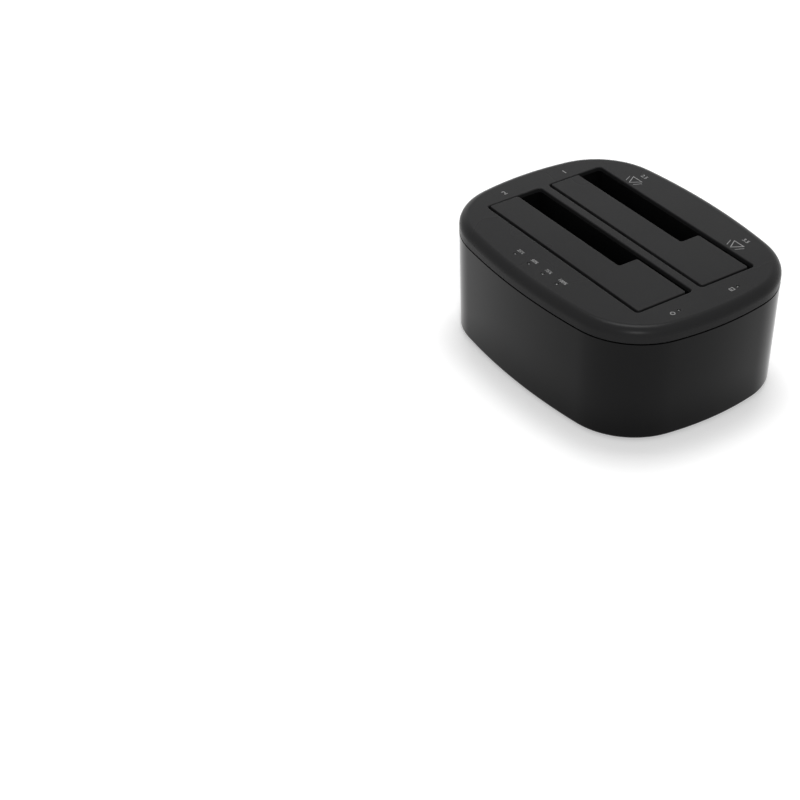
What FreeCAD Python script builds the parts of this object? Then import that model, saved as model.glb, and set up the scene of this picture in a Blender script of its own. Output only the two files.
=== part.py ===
import FreeCAD, Part

import math
import os

import Sketcher

# Two-bay drive duplicator that lies open side up.
# Frame: millimetres, origin on the resting surface under the middle of the housing,
# +X towards the right end, -Y towards the front with the progress lights,
# +Y towards the rear with the sockets and buttons, +Z up.

os.makedirs("parts", exist_ok=True)
Vector = FreeCAD.Vector
doc = FreeCAD.newDocument("drive_duplicator")
sheet = doc.addObject("Spreadsheet::Sheet", "Sizes")

# Driving dimensions: alias, value, meaning
DIMENSIONS = [
    ("body_length", 141, "overall length along X"),
    ("body_width", 109, "overall width along Y"),
    ("body_height", 57.5, "height of the lid's top"),
    ("long_arc", 281, "plan radius of the long sides"),
    ("short_arc", 138, "plan radius of the ends"),
    ("corner_arc", 34, "plan radius of the corners"),
    ("seam_height", 50.3, "height of the seam under the lid"),
    ("foot_gap", 1.5, "height of the housing above the surface"),
    ("side_draft", 0.85, "how far the side draws in from seam to foot"),
    ("lid_round", 4.3, "round along the lid's top edge"),
    ("foot_bevel", 1.2, "bevel along the housing's bottom edge"),
    ("seam_bevel", 0.25, "bevel on each side of the seam"),
    ("shell_wall", 2.4, "least wall of the glossy side shell"),
    ("lid_wall", 2, "thickness of the lid"),
    ("lip_wall", 1, "thickness of the lid's inner lip"),
    ("lip_gap", 0.2, "gap between that lip and the side shell"),
    ("lip_depth", 1.8, "how far the lip reaches below the seam"),
    ("ledge_low", 4.2, "underside of the ledge that the base plate meets"),
    ("ledge_high", 6, "top of that ledge"),
    ("ledge_inset", 4.8, "how far the ledge reaches in from the outline"),
    ("base_thickness", 2.6, "thickness of the base plate"),
    ("base_inset", 3.4, "base plate's edge in from the outline"),
    ("bay_left", -53.6, "left end of a bay's opening"),
    ("bay_right", 52.1, "right end of a bay's opening"),
    ("bay_width", 30, "width of a bay's opening"),
    ("target_front", -31.55, "front edge of the target drive's bay"),
    ("source_front", 2.75, "front edge of the source drive's bay"),
    ("bay_corner", 1.8, "corner radius of a bay's opening"),
    ("bay_lip", 0.5, "bevel along a bay's edge"),
    ("slot_end", 19.1, "right end of the always open narrow slot"),
    ("slot_width", 12.9, "width of that slot"),
    ("well_wall", 1.2, "wall of the drive wells"),
    ("well_floor", 13, "top of the wells' floor"),
    ("well_floor_wall", 1.6, "thickness of the wells' floor"),
    ("well_top", 55.4, "rim of the wells under the lid"),
    ("ear_x", 32, "well frame's screw ears from the middle along X"),
    ("ear_reach", 2.8, "ears' screws beyond the well frame's wall"),
    ("ear_half", 3.2, "half width of a screw ear"),
    ("ear_top", 52, "top of the screw ears"),
    ("ear_thickness", 2, "thickness of the screw ears"),
    ("hinge_setback", 2, "hinge axis in front of the bay's edge"),
    ("hinge_height", 53.2, "height of the hinge axis"),
    ("hinge_barrel", 1.35, "outside radius of the hinge barrel"),
    ("hinge_pocket", 1.65, "room in front of the hinge axis"),
    ("pin_radius", 0.85, "radius of the hinge pin"),
    ("pin_clearance", 0.05, "play of a barrel round its pin"),
    ("pin_seat", 0.7, "how far the pin reaches into each end wall"),
    ("flap_thickness", 2, "thickness of a flap"),
    ("flap_front_gap", 1.4, "gap at a flap's hinge edge"),
    ("flap_right_gap", 1, "gap at a flap's right end"),
    ("flap_left_gap", 1.6, "gap at a flap's left end"),
    ("flap_rear_gap", 2.9, "gap at a flap's free edge"),
    ("flap_corner", 1.2, "corner radius of a flap"),
    ("flap_bevel", 0.5, "bevel along a flap's upper edge"),
    ("lug_outer", 46, "outer face of a hinge lug from the middle"),
    ("lug_length", 8, "length of a hinge lug"),
    ("rib_wall", 1.2, "thickness of a flap's rib"),
    ("rib_depth", 1.8, "depth of a flap's rib"),
    ("rib_pitch", 17, "spacing of a flap's cross ribs"),
    ("coil_radius", 1.3, "mean radius of the flap spring's coil"),
    ("coil_length", 3, "length of the flap spring's coil"),
    ("spring_half", 0.17, "half side of the flap spring's square wire"),
    ("socket_centre", -20.7, "middle of the drive sockets along X"),
    ("socket_setback", 5.75, "socket's middle plane in front of the bay's far edge"),
    ("socket_length", 38.6, "length of a drive socket's body"),
    ("socket_reach", 42.7, "length over a drive socket's guide horns"),
    ("socket_depth", 5.3, "thickness of a drive socket"),
    ("socket_height", 8.8, "height of a drive socket"),
    ("horn_height", 3, "height of the guide horns above the socket"),
    ("power_key", 20.6, "length of the socket's power cavity"),
    ("signal_key", 10.4, "length of the socket's signal cavity"),
    ("key_gap", 2.2, "web between the two cavities"),
    ("key_width", 2.4, "width of the cavities"),
    ("key_depth", 6.5, "depth of the cavities"),
    ("contact_pitch", 1.27, "spacing of the socket's contacts"),
    ("board_top", 8.6, "top of the main board"),
    ("board_thickness", 1.6, "thickness of the main board"),
    ("board_half", 54, "half length of the main board"),
    ("board_front", -36, "front edge of the main board"),
    ("board_rear", 46, "rear edge of the main board"),
    ("board_bevel", 11, "bevel of the main board's rear corners"),
    ("board_hole_x", 49, "board screws from the middle along X"),
    ("board_hole_front", -32, "front row of board screws"),
    ("board_hole_rear", 33, "rear row of board screws"),
    ("post_x", 58.4, "case screws from the middle along X"),
    ("post_y", 28.6, "case screws from the middle along Y"),
    ("post_radius", 2.8, "radius of the case screw posts"),
    ("seat_depth", 1.4, "depth of the case screws' seats"),
    ("foot_x", 47, "feet from the middle along X"),
    ("foot_y", 36, "feet from the middle along Y"),
    ("foot_radius", 6, "radius of a foot"),
    ("foot_recess", 1, "depth of a foot's recess"),
    ("port_height", 15, "height of the round ports' axes"),
    ("port_gap", 0.2, "gap round the two rear sockets"),
    ("usb_centre", -8, "middle of the data socket along X"),
    ("usb_width", 12, "width of the data socket"),
    ("usb_height", 11, "height of the data socket"),
    ("usb_face", 53.7, "outer face of the data socket"),
    ("usb_back", 36, "inner end of the data socket"),
    ("dc_centre", 14, "middle of the power inlet along X"),
    ("dc_face", 53.2, "outer face of the power inlet"),
    ("dc_collar", 4, "radius of the power inlet's collar"),
    ("dc_bore", 3.15, "radius of the power inlet's bore"),
    ("dc_pin", 0.95, "radius of the power inlet's pin"),
    ("power_button_x", 36, "power button from the middle along X"),
    ("power_button_radius", 3, "radius of the power button"),
    ("power_travel", 1.8, "travel of the power button"),
    ("clone_button_x", -33, "copy button from the middle along X"),
    ("clone_button_radius", 2.4, "radius of the copy button"),
    ("clone_travel", 0.9, "travel of the copy button"),
    ("button_face", 52.9, "outer face of the buttons"),
    ("button_gap", 0.3, "gap round a button"),
    ("flange_face", 47.3, "outer face of a button's flange behind the wall"),
    ("flange_thickness", 0.9, "thickness of that flange"),
    ("stem_end", 42.4, "inner end of a button's stem"),
    ("stem_radius", 1.3, "radius of a button's stem"),
    ("switch_front", 36, "inner end of the button switches"),
    ("switch_rear", 44, "outer face of the button switches"),
    ("power_switch_half", 4.5, "half width of the power switch"),
    ("clone_switch_half", 3.5, "half width of the copy switch"),
    ("light_radius", 0.8, "radius of a light pipe"),
    ("light_gap", 0.05, "gap round a light pipe"),
    ("progress_pitch", 9.8, "spacing of the progress lights"),
    ("progress_centre", 0.7, "middle of the progress lights along X"),
    ("progress_y", -44.8, "row of the progress lights"),
    ("progress_stud", 20, "progress board's screws from its middle"),
    ("status_x", 60, "column of the status lights"),
    ("status_y", 16, "status lights from the middle along Y"),
    ("status_stud", 10, "status board's screws from its middle"),
    ("progress_board_length", 47, "length of the progress board"),
    ("progress_board_width", 7.4, "width of the progress board"),
    ("status_board_length", 42, "length of the status board"),
    ("status_board_width", 6, "width of the status board"),
    ("light_board_low", 50.5, "underside of the light boards"),
    ("light_board_thickness", 1, "thickness of the light boards"),
    ("light_chip", 0.8, "height of a light chip"),
    ("plug_low", 48.5, "underside of the ribbons' upper plugs"),
    ("ribbon_level", 10.1, "middle height of the ribbons above the main board"),
    ("ribbon_half", 4, "half width of the ribbons"),
    ("ribbon_thickness", 0.9, "thickness of the ribbons"),
    ("ribbon_bend", 3, "outside radius of the ribbons' bends"),
]


class Size:
    """A length that carries its value and the sheet expression that drives it."""

    def __init__(self, number, text):
        self.number = float(number)
        self.text = text

    def combine(self, other, sign, number):
        return Size(number, "(%s %s %s)" % (self.text, sign, as_size(other).text))

    def __add__(self, other):
        return self.combine(other, "+", self.number + as_size(other).number)

    def __sub__(self, other):
        return self.combine(other, "-", self.number - as_size(other).number)

    def __mul__(self, other):
        return self.combine(other, "*", self.number * as_size(other).number)

    def __truediv__(self, other):
        return self.combine(other, "/", self.number / as_size(other).number)

    def __neg__(self):
        return Size(-self.number, "(0 - %s)" % self.text)

    def __radd__(self, other):
        return as_size(other) + self

    def __rsub__(self, other):
        return as_size(other) - self


def as_size(value):
    """Plain numbers join in as sizes of their own."""
    if isinstance(value, Size):
        return value
    return Size(value, repr(float(value)))


class Dimensions:
    """Every driving dimension, by its alias."""


dim = Dimensions()
for row, (alias, value, meaning) in enumerate(DIMENSIONS, start=1):
    sheet.set("A%d" % row, meaning)
    sheet.set("B%d" % row, str(value))
    sheet.setAlias("B%d" % row, alias)
    setattr(dim, alias, Size(value, "Sizes." + alias))
doc.recompute()

subparts = {}
ZERO = Size(0, "0")


# Drawing aids

def bind(target, path, size):
    """Drive one property of an object from the sheet."""
    target.setExpression(path, as_size(size).text)


def register(part, label):
    """Give a finished sub-part its name."""
    part.Label = label
    subparts[label] = part
    return part


def new_body(label):
    """Start a sub-part that is made from sketches and features."""
    return register(doc.addObject("PartDesign::Body", label), label)


def origin_plane(body, role):
    """One of the body's own origin planes."""
    for feature in body.Origin.OriginFeatures:
        if feature.Role == role:
            return feature


def new_sketch(body, name, role="XY_Plane", height=ZERO):
    """A sketch on one of the body's planes, moved along that plane's normal."""
    sketch = body.newObject("Sketcher::SketchObject", name)
    sketch.AttachmentSupport = (origin_plane(body, role), [""])
    sketch.MapMode = "FlatFace"
    bind(sketch, "AttachmentOffset.Base.z", height)
    return sketch


def constrain(sketch, kind, *arguments):
    """Add a dimension to a sketch whose last argument is a size from the sheet."""
    size = as_size(arguments[-1])
    index = sketch.addConstraint(Sketcher.Constraint(kind, *arguments[:-1], size.number))
    sketch.setExpression("Constraints[%d]" % index, size.text)


def locate(sketch, geometry, point, x, y):
    """Fix a point of the sketch by its two distances from the origin."""
    constrain(sketch, "DistanceX", -1, 1, geometry, point, x)
    constrain(sketch, "DistanceY", -1, 1, geometry, point, y)


def polygon(sketch, points):
    """A closed run of straight lines through the points."""
    count = len(points)
    first = sketch.GeometryCount
    corners = [Vector(as_size(x).number, as_size(y).number, 0) for x, y in points]
    for index in range(count):
        line = Part.LineSegment(corners[index], corners[(index + 1) % count])
        sketch.addGeometry(line, False)
    for index in range(count):
        following = first + (index + 1) % count
        sketch.addConstraint(Sketcher.Constraint("Coincident", first + index, 2, following, 1))
    for index, (x, y) in enumerate(points):
        locate(sketch, first + index, 1, x, y)


def rectangle(sketch, low_x, high_x, low_y, high_y):
    """A closed rectangle between two values along each axis."""
    polygon(sketch, [(low_x, low_y), (high_x, low_y), (high_x, high_y), (low_x, high_y)])


def square(sketch, x, y, half):
    """A square placed by its centre."""
    rectangle(sketch, x - half, x + half, y - half, y + half)


def octagon(sketch, x, y, radius):
    """An eight-sided hole that a screw of the radius just fits."""
    eighth = math.pi / 4
    corner = as_size(radius) * round(1 / math.cos(eighth / 2), 5)
    points = []
    for step in range(8):
        turn = eighth * (step + 0.5)
        points.append((x + corner * round(math.cos(turn), 6), y + corner * round(math.sin(turn), 6)))
    polygon(sketch, points)


def circle(sketch, x, y, radius):
    """A circle placed by its centre."""
    x, y, radius = as_size(x), as_size(y), as_size(radius)
    centre = Vector(x.number, y.number, 0)
    index = sketch.addGeometry(Part.Circle(centre, Vector(0, 0, 1), radius.number), False)
    constrain(sketch, "Radius", index, radius)
    locate(sketch, index, 3, x, y)


def plan_centres(inset):
    """Centres of the outline's arcs in the first quarter: long side, corner, end."""
    long_radius = dim.long_arc.number - inset
    end_radius = dim.short_arc.number - inset
    corner_radius = dim.corner_arc.number - inset
    side = Vector(0, dim.body_width.number / 2 - dim.long_arc.number, 0)
    end = Vector(dim.body_length.number / 2 - dim.short_arc.number, 0, 0)
    from_side = long_radius - corner_radius
    from_end = end_radius - corner_radius
    span = end - side
    along = (span.Length ** 2 + from_side ** 2 - from_end ** 2) / (2 * span.Length)
    across = math.sqrt(from_side ** 2 - along ** 2)
    unit = Vector(span).normalize()
    corner = side + unit * along + Vector(unit.y, -unit.x, 0) * across
    return side, corner, end


def body_outline(sketch, inset):
    """The housing's plan: eight tangent arcs, drawn in from the outside by the inset."""
    inset = as_size(inset)
    side, corner, end = plan_centres(inset.number)
    side_turn = math.atan2(corner.y - side.y, corner.x - side.x)
    end_turn = math.atan2(corner.y - end.y, corner.x - end.x)
    half = math.pi
    rear_left, front_right = Vector(-corner.x, corner.y, 0), Vector(corner.x, -corner.y, 0)
    first = sketch.GeometryCount
    arcs = [
        (end, dim.short_arc, -end_turn, end_turn),
        (corner, dim.corner_arc, end_turn, side_turn),
        (side, dim.long_arc, side_turn, half - side_turn),
        (rear_left, dim.corner_arc, half - side_turn, half - end_turn),
        (-end, dim.short_arc, half - end_turn, half + end_turn),
        (-corner, dim.corner_arc, half + end_turn, half + side_turn),
        (-side, dim.long_arc, half + side_turn, 2 * half - side_turn),
        (front_right, dim.corner_arc, -side_turn, -end_turn),
    ]
    for centre, radius, start, stop in arcs:
        round_edge = Part.Circle(centre, Vector(0, 0, 1), radius.number - inset.number)
        sketch.addGeometry(Part.ArcOfCircle(round_edge, start, stop), False)
    for index in range(len(arcs)):
        following = first + (index + 1) % len(arcs)
        sketch.addConstraint(Sketcher.Constraint("Tangent", first + index, 2, following, 1))
    for index in (0, 1, 2, 4, 6):
        constrain(sketch, "Radius", first + index, arcs[index][1] - inset)
    for index in (3, 5, 7):
        sketch.addConstraint(Sketcher.Constraint("Equal", first + 1, first + index))
    locate(sketch, first, 3, dim.body_length / 2 - dim.short_arc, 0)
    locate(sketch, first + 4, 3, dim.short_arc - dim.body_length / 2, 0)
    locate(sketch, first + 2, 3, 0, dim.body_width / 2 - dim.long_arc)
    locate(sketch, first + 6, 3, 0, dim.long_arc - dim.body_width / 2)


def pad(body, sketch, length, reverse=False, taper=None):
    """Raise a solid from a sketch, straight or with a draft angle."""
    feature = body.newObject("PartDesign::Pad", sketch.Name + "_pad")
    feature.Profile = sketch
    feature.Reversed = reverse
    bind(feature, "Length", length)
    if taper is not None:
        feature.setExpression("TaperAngle", taper)
    doc.recompute()
    return feature


def pocket(body, sketch, length, reverse=False, taper=None):
    """Cut a solid away from a sketch, and make sure that it did cut."""
    before = body.Shape.Volume
    feature = body.newObject("PartDesign::Pocket", sketch.Name + "_pocket")
    feature.Profile = sketch
    feature.Reversed = reverse
    bind(feature, "Length", length)
    if taper is not None:
        feature.setExpression("TaperAngle", taper)
    doc.recompute()
    if not feature.Shape.Volume < before:
        raise RuntimeError("nothing was cut by " + feature.Name)
    return feature


def dress(body, kind, name, base, edges, size):
    """Round or bevel the named edges of the body."""
    feature = body.newObject("PartDesign::" + kind, name)
    feature.Base = (base, edges)
    bind(feature, "Radius" if kind == "Fillet" else "Size", size)
    doc.recompute()
    return feature


NEAR = 0.01


def edges_where(shape, test):
    """Names of the edges whose reach, the box round them, passes the test."""
    return ["Edge%d" % index for index, edge in enumerate(shape.Edges, start=1) if test(edge.BoundBox)]


def level_edges(shape, height):
    """Names of the edges that lie flat at one height."""
    return edges_where(shape, lambda reach: max(abs(reach.ZMin - height), abs(reach.ZMax - height)) < NEAR)


def stands_upright(reach):
    """True for a straight edge along Z."""
    return reach.XLength < NEAR and reach.YLength < NEAR


def in_bay_rows(reach):
    """True for an edge that lies within the reach of the two bay openings."""
    low_x, high_x = dim.bay_left.number - NEAR, dim.bay_right.number + NEAR
    low_y, high_y = target_bay.front.number - NEAR, source_bay.rear.number + NEAR
    return reach.XMin > low_x and reach.XMax < high_x and reach.YMin > low_y and reach.YMax < high_y


def repeat_along_x(body, name, feature, sketch, pitch, count):
    """Repeat a feature in a row along its sketch's own X axis."""
    row = body.newObject("PartDesign::LinearPattern", name)
    row.Originals = [feature]
    row.Direction = (sketch, ["H_Axis"])
    row.Length = pitch * (count - 1)
    row.Occurrences = count
    body.Tip = row
    doc.recompute()


def block(name, low, high):
    """A plain block between two corners."""
    solid = doc.addObject("Part::Box", name)
    for side, axis, start, stop in zip(("Length", "Width", "Height"), "xyz", low, high):
        bind(solid, side, as_size(stop) - start)
        bind(solid, "Placement.Base." + axis, start)
    return solid


AXIS_TURNS = {
    "X": FreeCAD.Rotation(Vector(0, 1, 0), 90),
    "Y": FreeCAD.Rotation(Vector(1, 0, 0), -90),
    "Z": FreeCAD.Rotation(),
}


def rod(name, radius, start, length, axis="Z"):
    """A plain cylinder from a start point along an axis."""
    solid = doc.addObject("Part::Cylinder", name)
    solid.Placement = FreeCAD.Placement(Vector(), AXIS_TURNS[axis])
    bind(solid, "Radius", radius)
    bind(solid, "Height", length)
    for direction, place in zip("xyz", start):
        bind(solid, "Placement.Base." + direction, place)
    return solid


def prism(name, sides, radius, start, height):
    """An upright prism whose corners lie on a circle."""
    solid = doc.addObject("Part::Prism", name)
    solid.Polygon = sides
    bind(solid, "Circumradius", radius)
    bind(solid, "Height", height)
    for direction, place in zip("xyz", start):
        bind(solid, "Placement.Base." + direction, place)
    return solid


def cut(name, base, tools):
    """One solid with others taken away from it."""
    tool = tools[0] if len(tools) == 1 else union(name + "_tools", tools)
    solid = doc.addObject("Part::Cut", name)
    solid.Base = base
    solid.Tool = tool
    doc.recompute()
    return solid


def union(name, members):
    """Several solids joined into one."""
    solid = doc.addObject("Part::MultiFuse", name)
    solid.Shapes = members
    doc.recompute()
    return solid


def group(name, members):
    """Several separate solids that share one sub-part."""
    solid = doc.addObject("Part::Compound", name)
    solid.Links = members
    doc.recompute()
    return solid


# Places that several sub-parts share

lid_under = dim.body_height - dim.lid_wall
flap_under = dim.body_height - dim.flap_thickness
shell_inset = dim.shell_wall + dim.side_draft
base_inside = dim.foot_gap + dim.base_thickness
board_under = dim.board_top - dim.board_thickness
light_board_top = dim.light_board_low + dim.light_board_thickness


class Bay:
    """One drive bay, named after what stands in it, and the places that follow from its edges."""

    def __init__(self, name, front_edge):
        self.name = name
        self.front = front_edge
        self.rear = front_edge + dim.bay_width
        self.slot_front = self.rear - dim.slot_width
        self.hinge_y = self.front - dim.hinge_setback
        self.pocket_front = self.hinge_y - dim.hinge_pocket
        self.socket_y = self.rear - dim.socket_setback
        self.flap_front = self.front + dim.flap_front_gap
        self.flap_rear = self.rear - dim.flap_rear_gap


target_bay = Bay("target", dim.target_front)
source_bay = Bay("source", dim.source_front)
bays = (target_bay, source_bay)
frame_front = target_bay.pocket_front - dim.well_wall
frame_rear = source_bay.rear + dim.well_wall


def four_places(x, y):
    """The same place in each quarter of the plan."""
    return [(x, y), (-x, y), (-x, -y), (x, -y)]


def board_screw_places():
    """Where the main board is screwed to the base plate."""
    rows = (dim.board_hole_front, dim.board_hole_rear)
    return [(dim.board_hole_x * side, y) for side in (1, -1) for y in rows]


def progress_places():
    """Centres of the four progress lights."""
    steps = (-1.5, -0.5, 0.5, 1.5)
    return [(dim.progress_centre + dim.progress_pitch * step, dim.progress_y) for step in steps]


def status_places():
    """Centres of the two status lights, one beside each bay."""
    return [(dim.status_x, -dim.status_y), (dim.status_x, dim.status_y)]


def progress_studs():
    """Where the progress board is screwed to the lid."""
    stud_offset = 1
    stud_y = dim.progress_y + stud_offset
    return [(dim.progress_centre + dim.progress_stud * side, stud_y) for side in (-1, 1)]


def status_studs():
    """Where the status board is screwed to the lid."""
    return [(dim.status_x, dim.status_stud * side) for side in (-1, 1)]


def ear_places():
    """Where the well frame is screwed to the lid."""
    rows = (frame_front - dim.ear_reach, frame_rear + dim.ear_reach)
    return [(dim.ear_x * side, y) for side in (-1, 1) for y in rows]


# Base plate: moulded tray with a board boss at each screw, foot recesses and vent slots

def make_base_plate():
    edge_bevel = 0.5
    boss_half = 2.8
    pilot_radius = 1
    pilot_in_floor = 1
    recess_gap = 0.2
    screw_hole = 1.6
    screw_seat = 3
    vent_width = 2
    vent_length = 24
    vent_pitch = 6
    vent_count = 9
    body = new_body("base_plate")
    plan = new_sketch(body, "base_plan", height=dim.foot_gap)
    body_outline(plan, dim.base_inset)
    plate = pad(body, plan, dim.base_thickness)
    dress(body, "Chamfer", "base_edge", plate, level_edges(plate.Shape, dim.foot_gap.number), edge_bevel)
    bosses = new_sketch(body, "base_bosses", height=base_inside)
    pilots = new_sketch(body, "base_pilots", height=board_under)
    for x, y in board_screw_places():
        square(bosses, x, y, boss_half)
        octagon(pilots, x, y, pilot_radius)
    pad(body, bosses, board_under - base_inside)
    pocket(body, pilots, board_under - base_inside + pilot_in_floor)
    recesses = new_sketch(body, "base_foot_recesses", height=dim.foot_gap)
    for x, y in four_places(dim.foot_x, dim.foot_y):
        circle(recesses, x, y, dim.foot_radius + recess_gap)
    pocket(body, recesses, dim.foot_recess, reverse=True)
    seats = new_sketch(body, "base_screw_seats", height=dim.foot_gap)
    holes = new_sketch(body, "base_screw_holes", height=dim.foot_gap)
    for x, y in four_places(dim.post_x, dim.post_y):
        octagon(seats, x, y, screw_seat)
        octagon(holes, x, y, screw_hole)
    pocket(body, seats, dim.seat_depth, reverse=True)
    pocket(body, holes, dim.base_thickness, reverse=True)
    vent = new_sketch(body, "base_vent", height=dim.foot_gap)
    start = -vent_pitch * (vent_count - 1) / 2
    rectangle(vent, start - vent_width / 2, start + vent_width / 2, -vent_length / 2, vent_length / 2)
    slot = pocket(body, vent, dim.base_thickness, reverse=True)
    repeat_along_x(body, "base_vent_row", slot, vent, vent_pitch, vent_count)


# Side shell: the glossy moulded ring, drawn in towards the foot, with the rear openings

def make_side_shell():
    seat_gap = 0.15
    below = 1
    cut_start = 45
    cut_reach = 12
    body = new_body("side_shell")
    height = dim.seam_height - dim.foot_gap
    foot = new_sketch(body, "shell_foot", height=dim.foot_gap)
    body_outline(foot, dim.side_draft)
    skin = pad(body, foot, height, taper="atan(%s)" % (dim.side_draft / height).text)
    foot_edges = level_edges(skin.Shape, dim.foot_gap.number)
    bevelled = dress(body, "Chamfer", "shell_foot_bevel", skin, foot_edges, dim.foot_bevel)
    rim_edges = level_edges(bevelled.Shape, dim.seam_height.number)
    dress(body, "Chamfer", "shell_seam_bevel", bevelled, rim_edges, dim.seam_bevel)
    hollow = new_sketch(body, "shell_hollow", height=dim.seam_height)
    body_outline(hollow, shell_inset)
    pocket(body, hollow, dim.seam_height - dim.ledge_high)
    ledge = new_sketch(body, "shell_ledge", height=dim.foot_gap)
    body_outline(ledge, dim.ledge_inset)
    pocket(body, ledge, dim.ledge_high - dim.foot_gap + below, reverse=True)
    seat = new_sketch(body, "shell_base_seat", height=dim.foot_gap)
    body_outline(seat, dim.base_inset - seat_gap)
    pocket(body, seat, dim.ledge_low - dim.foot_gap, reverse=True)
    ports = new_sketch(body, "shell_ports", "XZ_Plane", ZERO - cut_start)
    circle(ports, dim.dc_centre, dim.port_height, dim.dc_collar + dim.port_gap)
    circle(ports, dim.power_button_x, dim.port_height, dim.power_button_radius + dim.button_gap)
    circle(ports, dim.clone_button_x, dim.port_height, dim.clone_button_radius + dim.button_gap)
    half_usb = dim.usb_width / 2 + dim.port_gap
    usb_low = dim.board_top - dim.port_gap
    usb_high = dim.board_top + dim.usb_height + dim.port_gap
    rectangle(ports, dim.usb_centre - half_usb, dim.usb_centre + half_usb, usb_low, usb_high)
    pocket(body, ports, cut_reach)


# Top cover: matte moulded lid with two bay openings, light holes, an inner lip, studs and screw posts

def make_top_cover():
    post_foot = 4.6
    screw_bore = 1.15
    bore_depth = 14
    board_stud_half = 1.8
    ear_stud_half = 2.4
    body = new_body("top_cover")
    plan = new_sketch(body, "lid_plan", height=dim.seam_height)
    body_outline(plan, 0)
    slab = pad(body, plan, dim.body_height - dim.seam_height)
    top_edges = level_edges(slab.Shape, dim.body_height.number)
    crown = dress(body, "Fillet", "lid_crown", slab, top_edges, dim.lid_round)
    seam_edges = level_edges(crown.Shape, dim.seam_height.number)
    dress(body, "Chamfer", "lid_seam_bevel", crown, seam_edges, dim.seam_bevel)
    inside = new_sketch(body, "lid_inside", height=dim.seam_height)
    body_outline(inside, dim.lid_wall)
    pocket(body, inside, lid_under - dim.seam_height, reverse=True)
    lip = new_sketch(body, "lid_lip", height=dim.seam_height - dim.lip_depth)
    body_outline(lip, shell_inset + dim.lip_gap)
    body_outline(lip, shell_inset + dim.lip_gap + dim.lip_wall)
    pad(body, lip, lid_under - dim.seam_height + dim.lip_depth)
    openings = new_sketch(body, "lid_openings", height=dim.body_height)
    for bay in bays:
        rectangle(openings, dim.bay_left, dim.bay_right, bay.front, bay.rear)
    windows = pocket(body, openings, dim.lid_wall)
    corners = edges_where(windows.Shape, lambda reach: stands_upright(reach) and in_bay_rows(reach))
    rounded = dress(body, "Fillet", "lid_window_corners", windows, corners, dim.bay_corner)
    top = dim.body_height.number
    rims = edges_where(rounded.Shape, lambda reach: reach.ZMin > top - NEAR and in_bay_rows(reach))
    dress(body, "Chamfer", "lid_window_rims", rounded, rims, dim.bay_lip)
    lights = new_sketch(body, "lid_light_holes", height=dim.body_height)
    for x, y in progress_places() + status_places():
        circle(lights, x, y, dim.light_radius + dim.light_gap)
    pocket(body, lights, dim.lid_wall)
    posts = new_sketch(body, "lid_posts", height=post_foot)
    bores = new_sketch(body, "lid_post_bores", height=post_foot)
    for x, y in four_places(dim.post_x, dim.post_y):
        circle(posts, x, y, dim.post_radius)
        octagon(bores, x, y, screw_bore)
    pad(body, posts, lid_under - post_foot)
    pocket(body, bores, bore_depth, reverse=True)
    board_studs = new_sketch(body, "lid_board_studs", height=light_board_top)
    for x, y in progress_studs() + status_studs():
        square(board_studs, x, y, board_stud_half)
    pad(body, board_studs, lid_under - light_board_top)
    ear_studs = new_sketch(body, "lid_well_studs", height=dim.ear_top)
    for x, y in ear_places():
        square(ear_studs, x, y, ear_stud_half)
    pad(body, ear_studs, lid_under - dim.ear_top)


# Well frame: one moulding with both drive wells, the hinge pockets and four screw ears

def make_well_frame():
    corner_round = 2.4
    socket_gap = 0.4
    pin_gap = 0.03
    ear_hole = 1.2
    overlap = 0.5
    rib_half = 0.7
    rib_reach = 0.8
    rib_height = 36
    rib_pitch = 19
    rib_count = 5
    under = dim.well_floor - dim.well_floor_wall
    low_x = dim.bay_left - dim.well_wall
    high_x = dim.bay_right + dim.well_wall
    body = new_body("well_frame")
    plan = new_sketch(body, "well_plan", height=under)
    rectangle(plan, low_x, high_x, frame_front, frame_rear)
    outside = pad(body, plan, dim.well_top - under)
    dress(body, "Fillet", "well_corners", outside, edges_where(outside.Shape, stands_upright), corner_round)
    wells = new_sketch(body, "well_rooms", height=dim.well_top)
    for bay in bays:
        rectangle(wells, dim.bay_left, dim.bay_right, bay.pocket_front, bay.rear)
    pocket(body, wells, dim.well_top - dim.well_floor)
    gaps = new_sketch(body, "well_socket_gaps", height=dim.well_floor)
    half_length = dim.socket_reach / 2 + socket_gap
    half_depth = dim.socket_depth / 2 + socket_gap
    for bay in bays:
        low_y, high_y = bay.socket_y - half_depth, bay.socket_y + half_depth
        rectangle(gaps, dim.socket_centre - half_length, dim.socket_centre + half_length, low_y, high_y)
    pocket(body, gaps, dim.well_floor_wall)
    pins = new_sketch(body, "well_pin_holes", "YZ_Plane", low_x)
    for bay in bays:
        circle(pins, bay.hinge_y, dim.hinge_height, dim.pin_radius + pin_gap)
    pocket(body, pins, high_x - low_x, reverse=True)
    ears = new_sketch(body, "well_ears", height=dim.ear_top)
    holes = new_sketch(body, "well_ear_holes", height=dim.ear_top)
    for x, y in ear_places():
        if y.number < 0:
            low_y, high_y = y - dim.ear_half, frame_front + overlap
        else:
            low_y, high_y = frame_rear - overlap, y + dim.ear_half
        rectangle(ears, x - dim.ear_half, x + dim.ear_half, low_y, high_y)
        octagon(holes, x, y, ear_hole)
    pad(body, ears, dim.ear_thickness, reverse=True)
    pocket(body, holes, dim.ear_thickness)
    rib = new_sketch(body, "well_rib", height=under)
    middle = -rib_pitch * (rib_count - 1) / 2
    rectangle(rib, middle - rib_half, middle + rib_half, frame_front - rib_reach, frame_front + overlap)
    rectangle(rib, middle - rib_half, middle + rib_half, frame_rear - overlap, frame_rear + rib_reach)
    first = pad(body, rib, rib_height)
    repeat_along_x(body, "well_rib_row", first, rib, rib_pitch, rib_count)


# Flap: L-shaped lid of one bay, with ribs under it and two barrels that run on the pin

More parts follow.
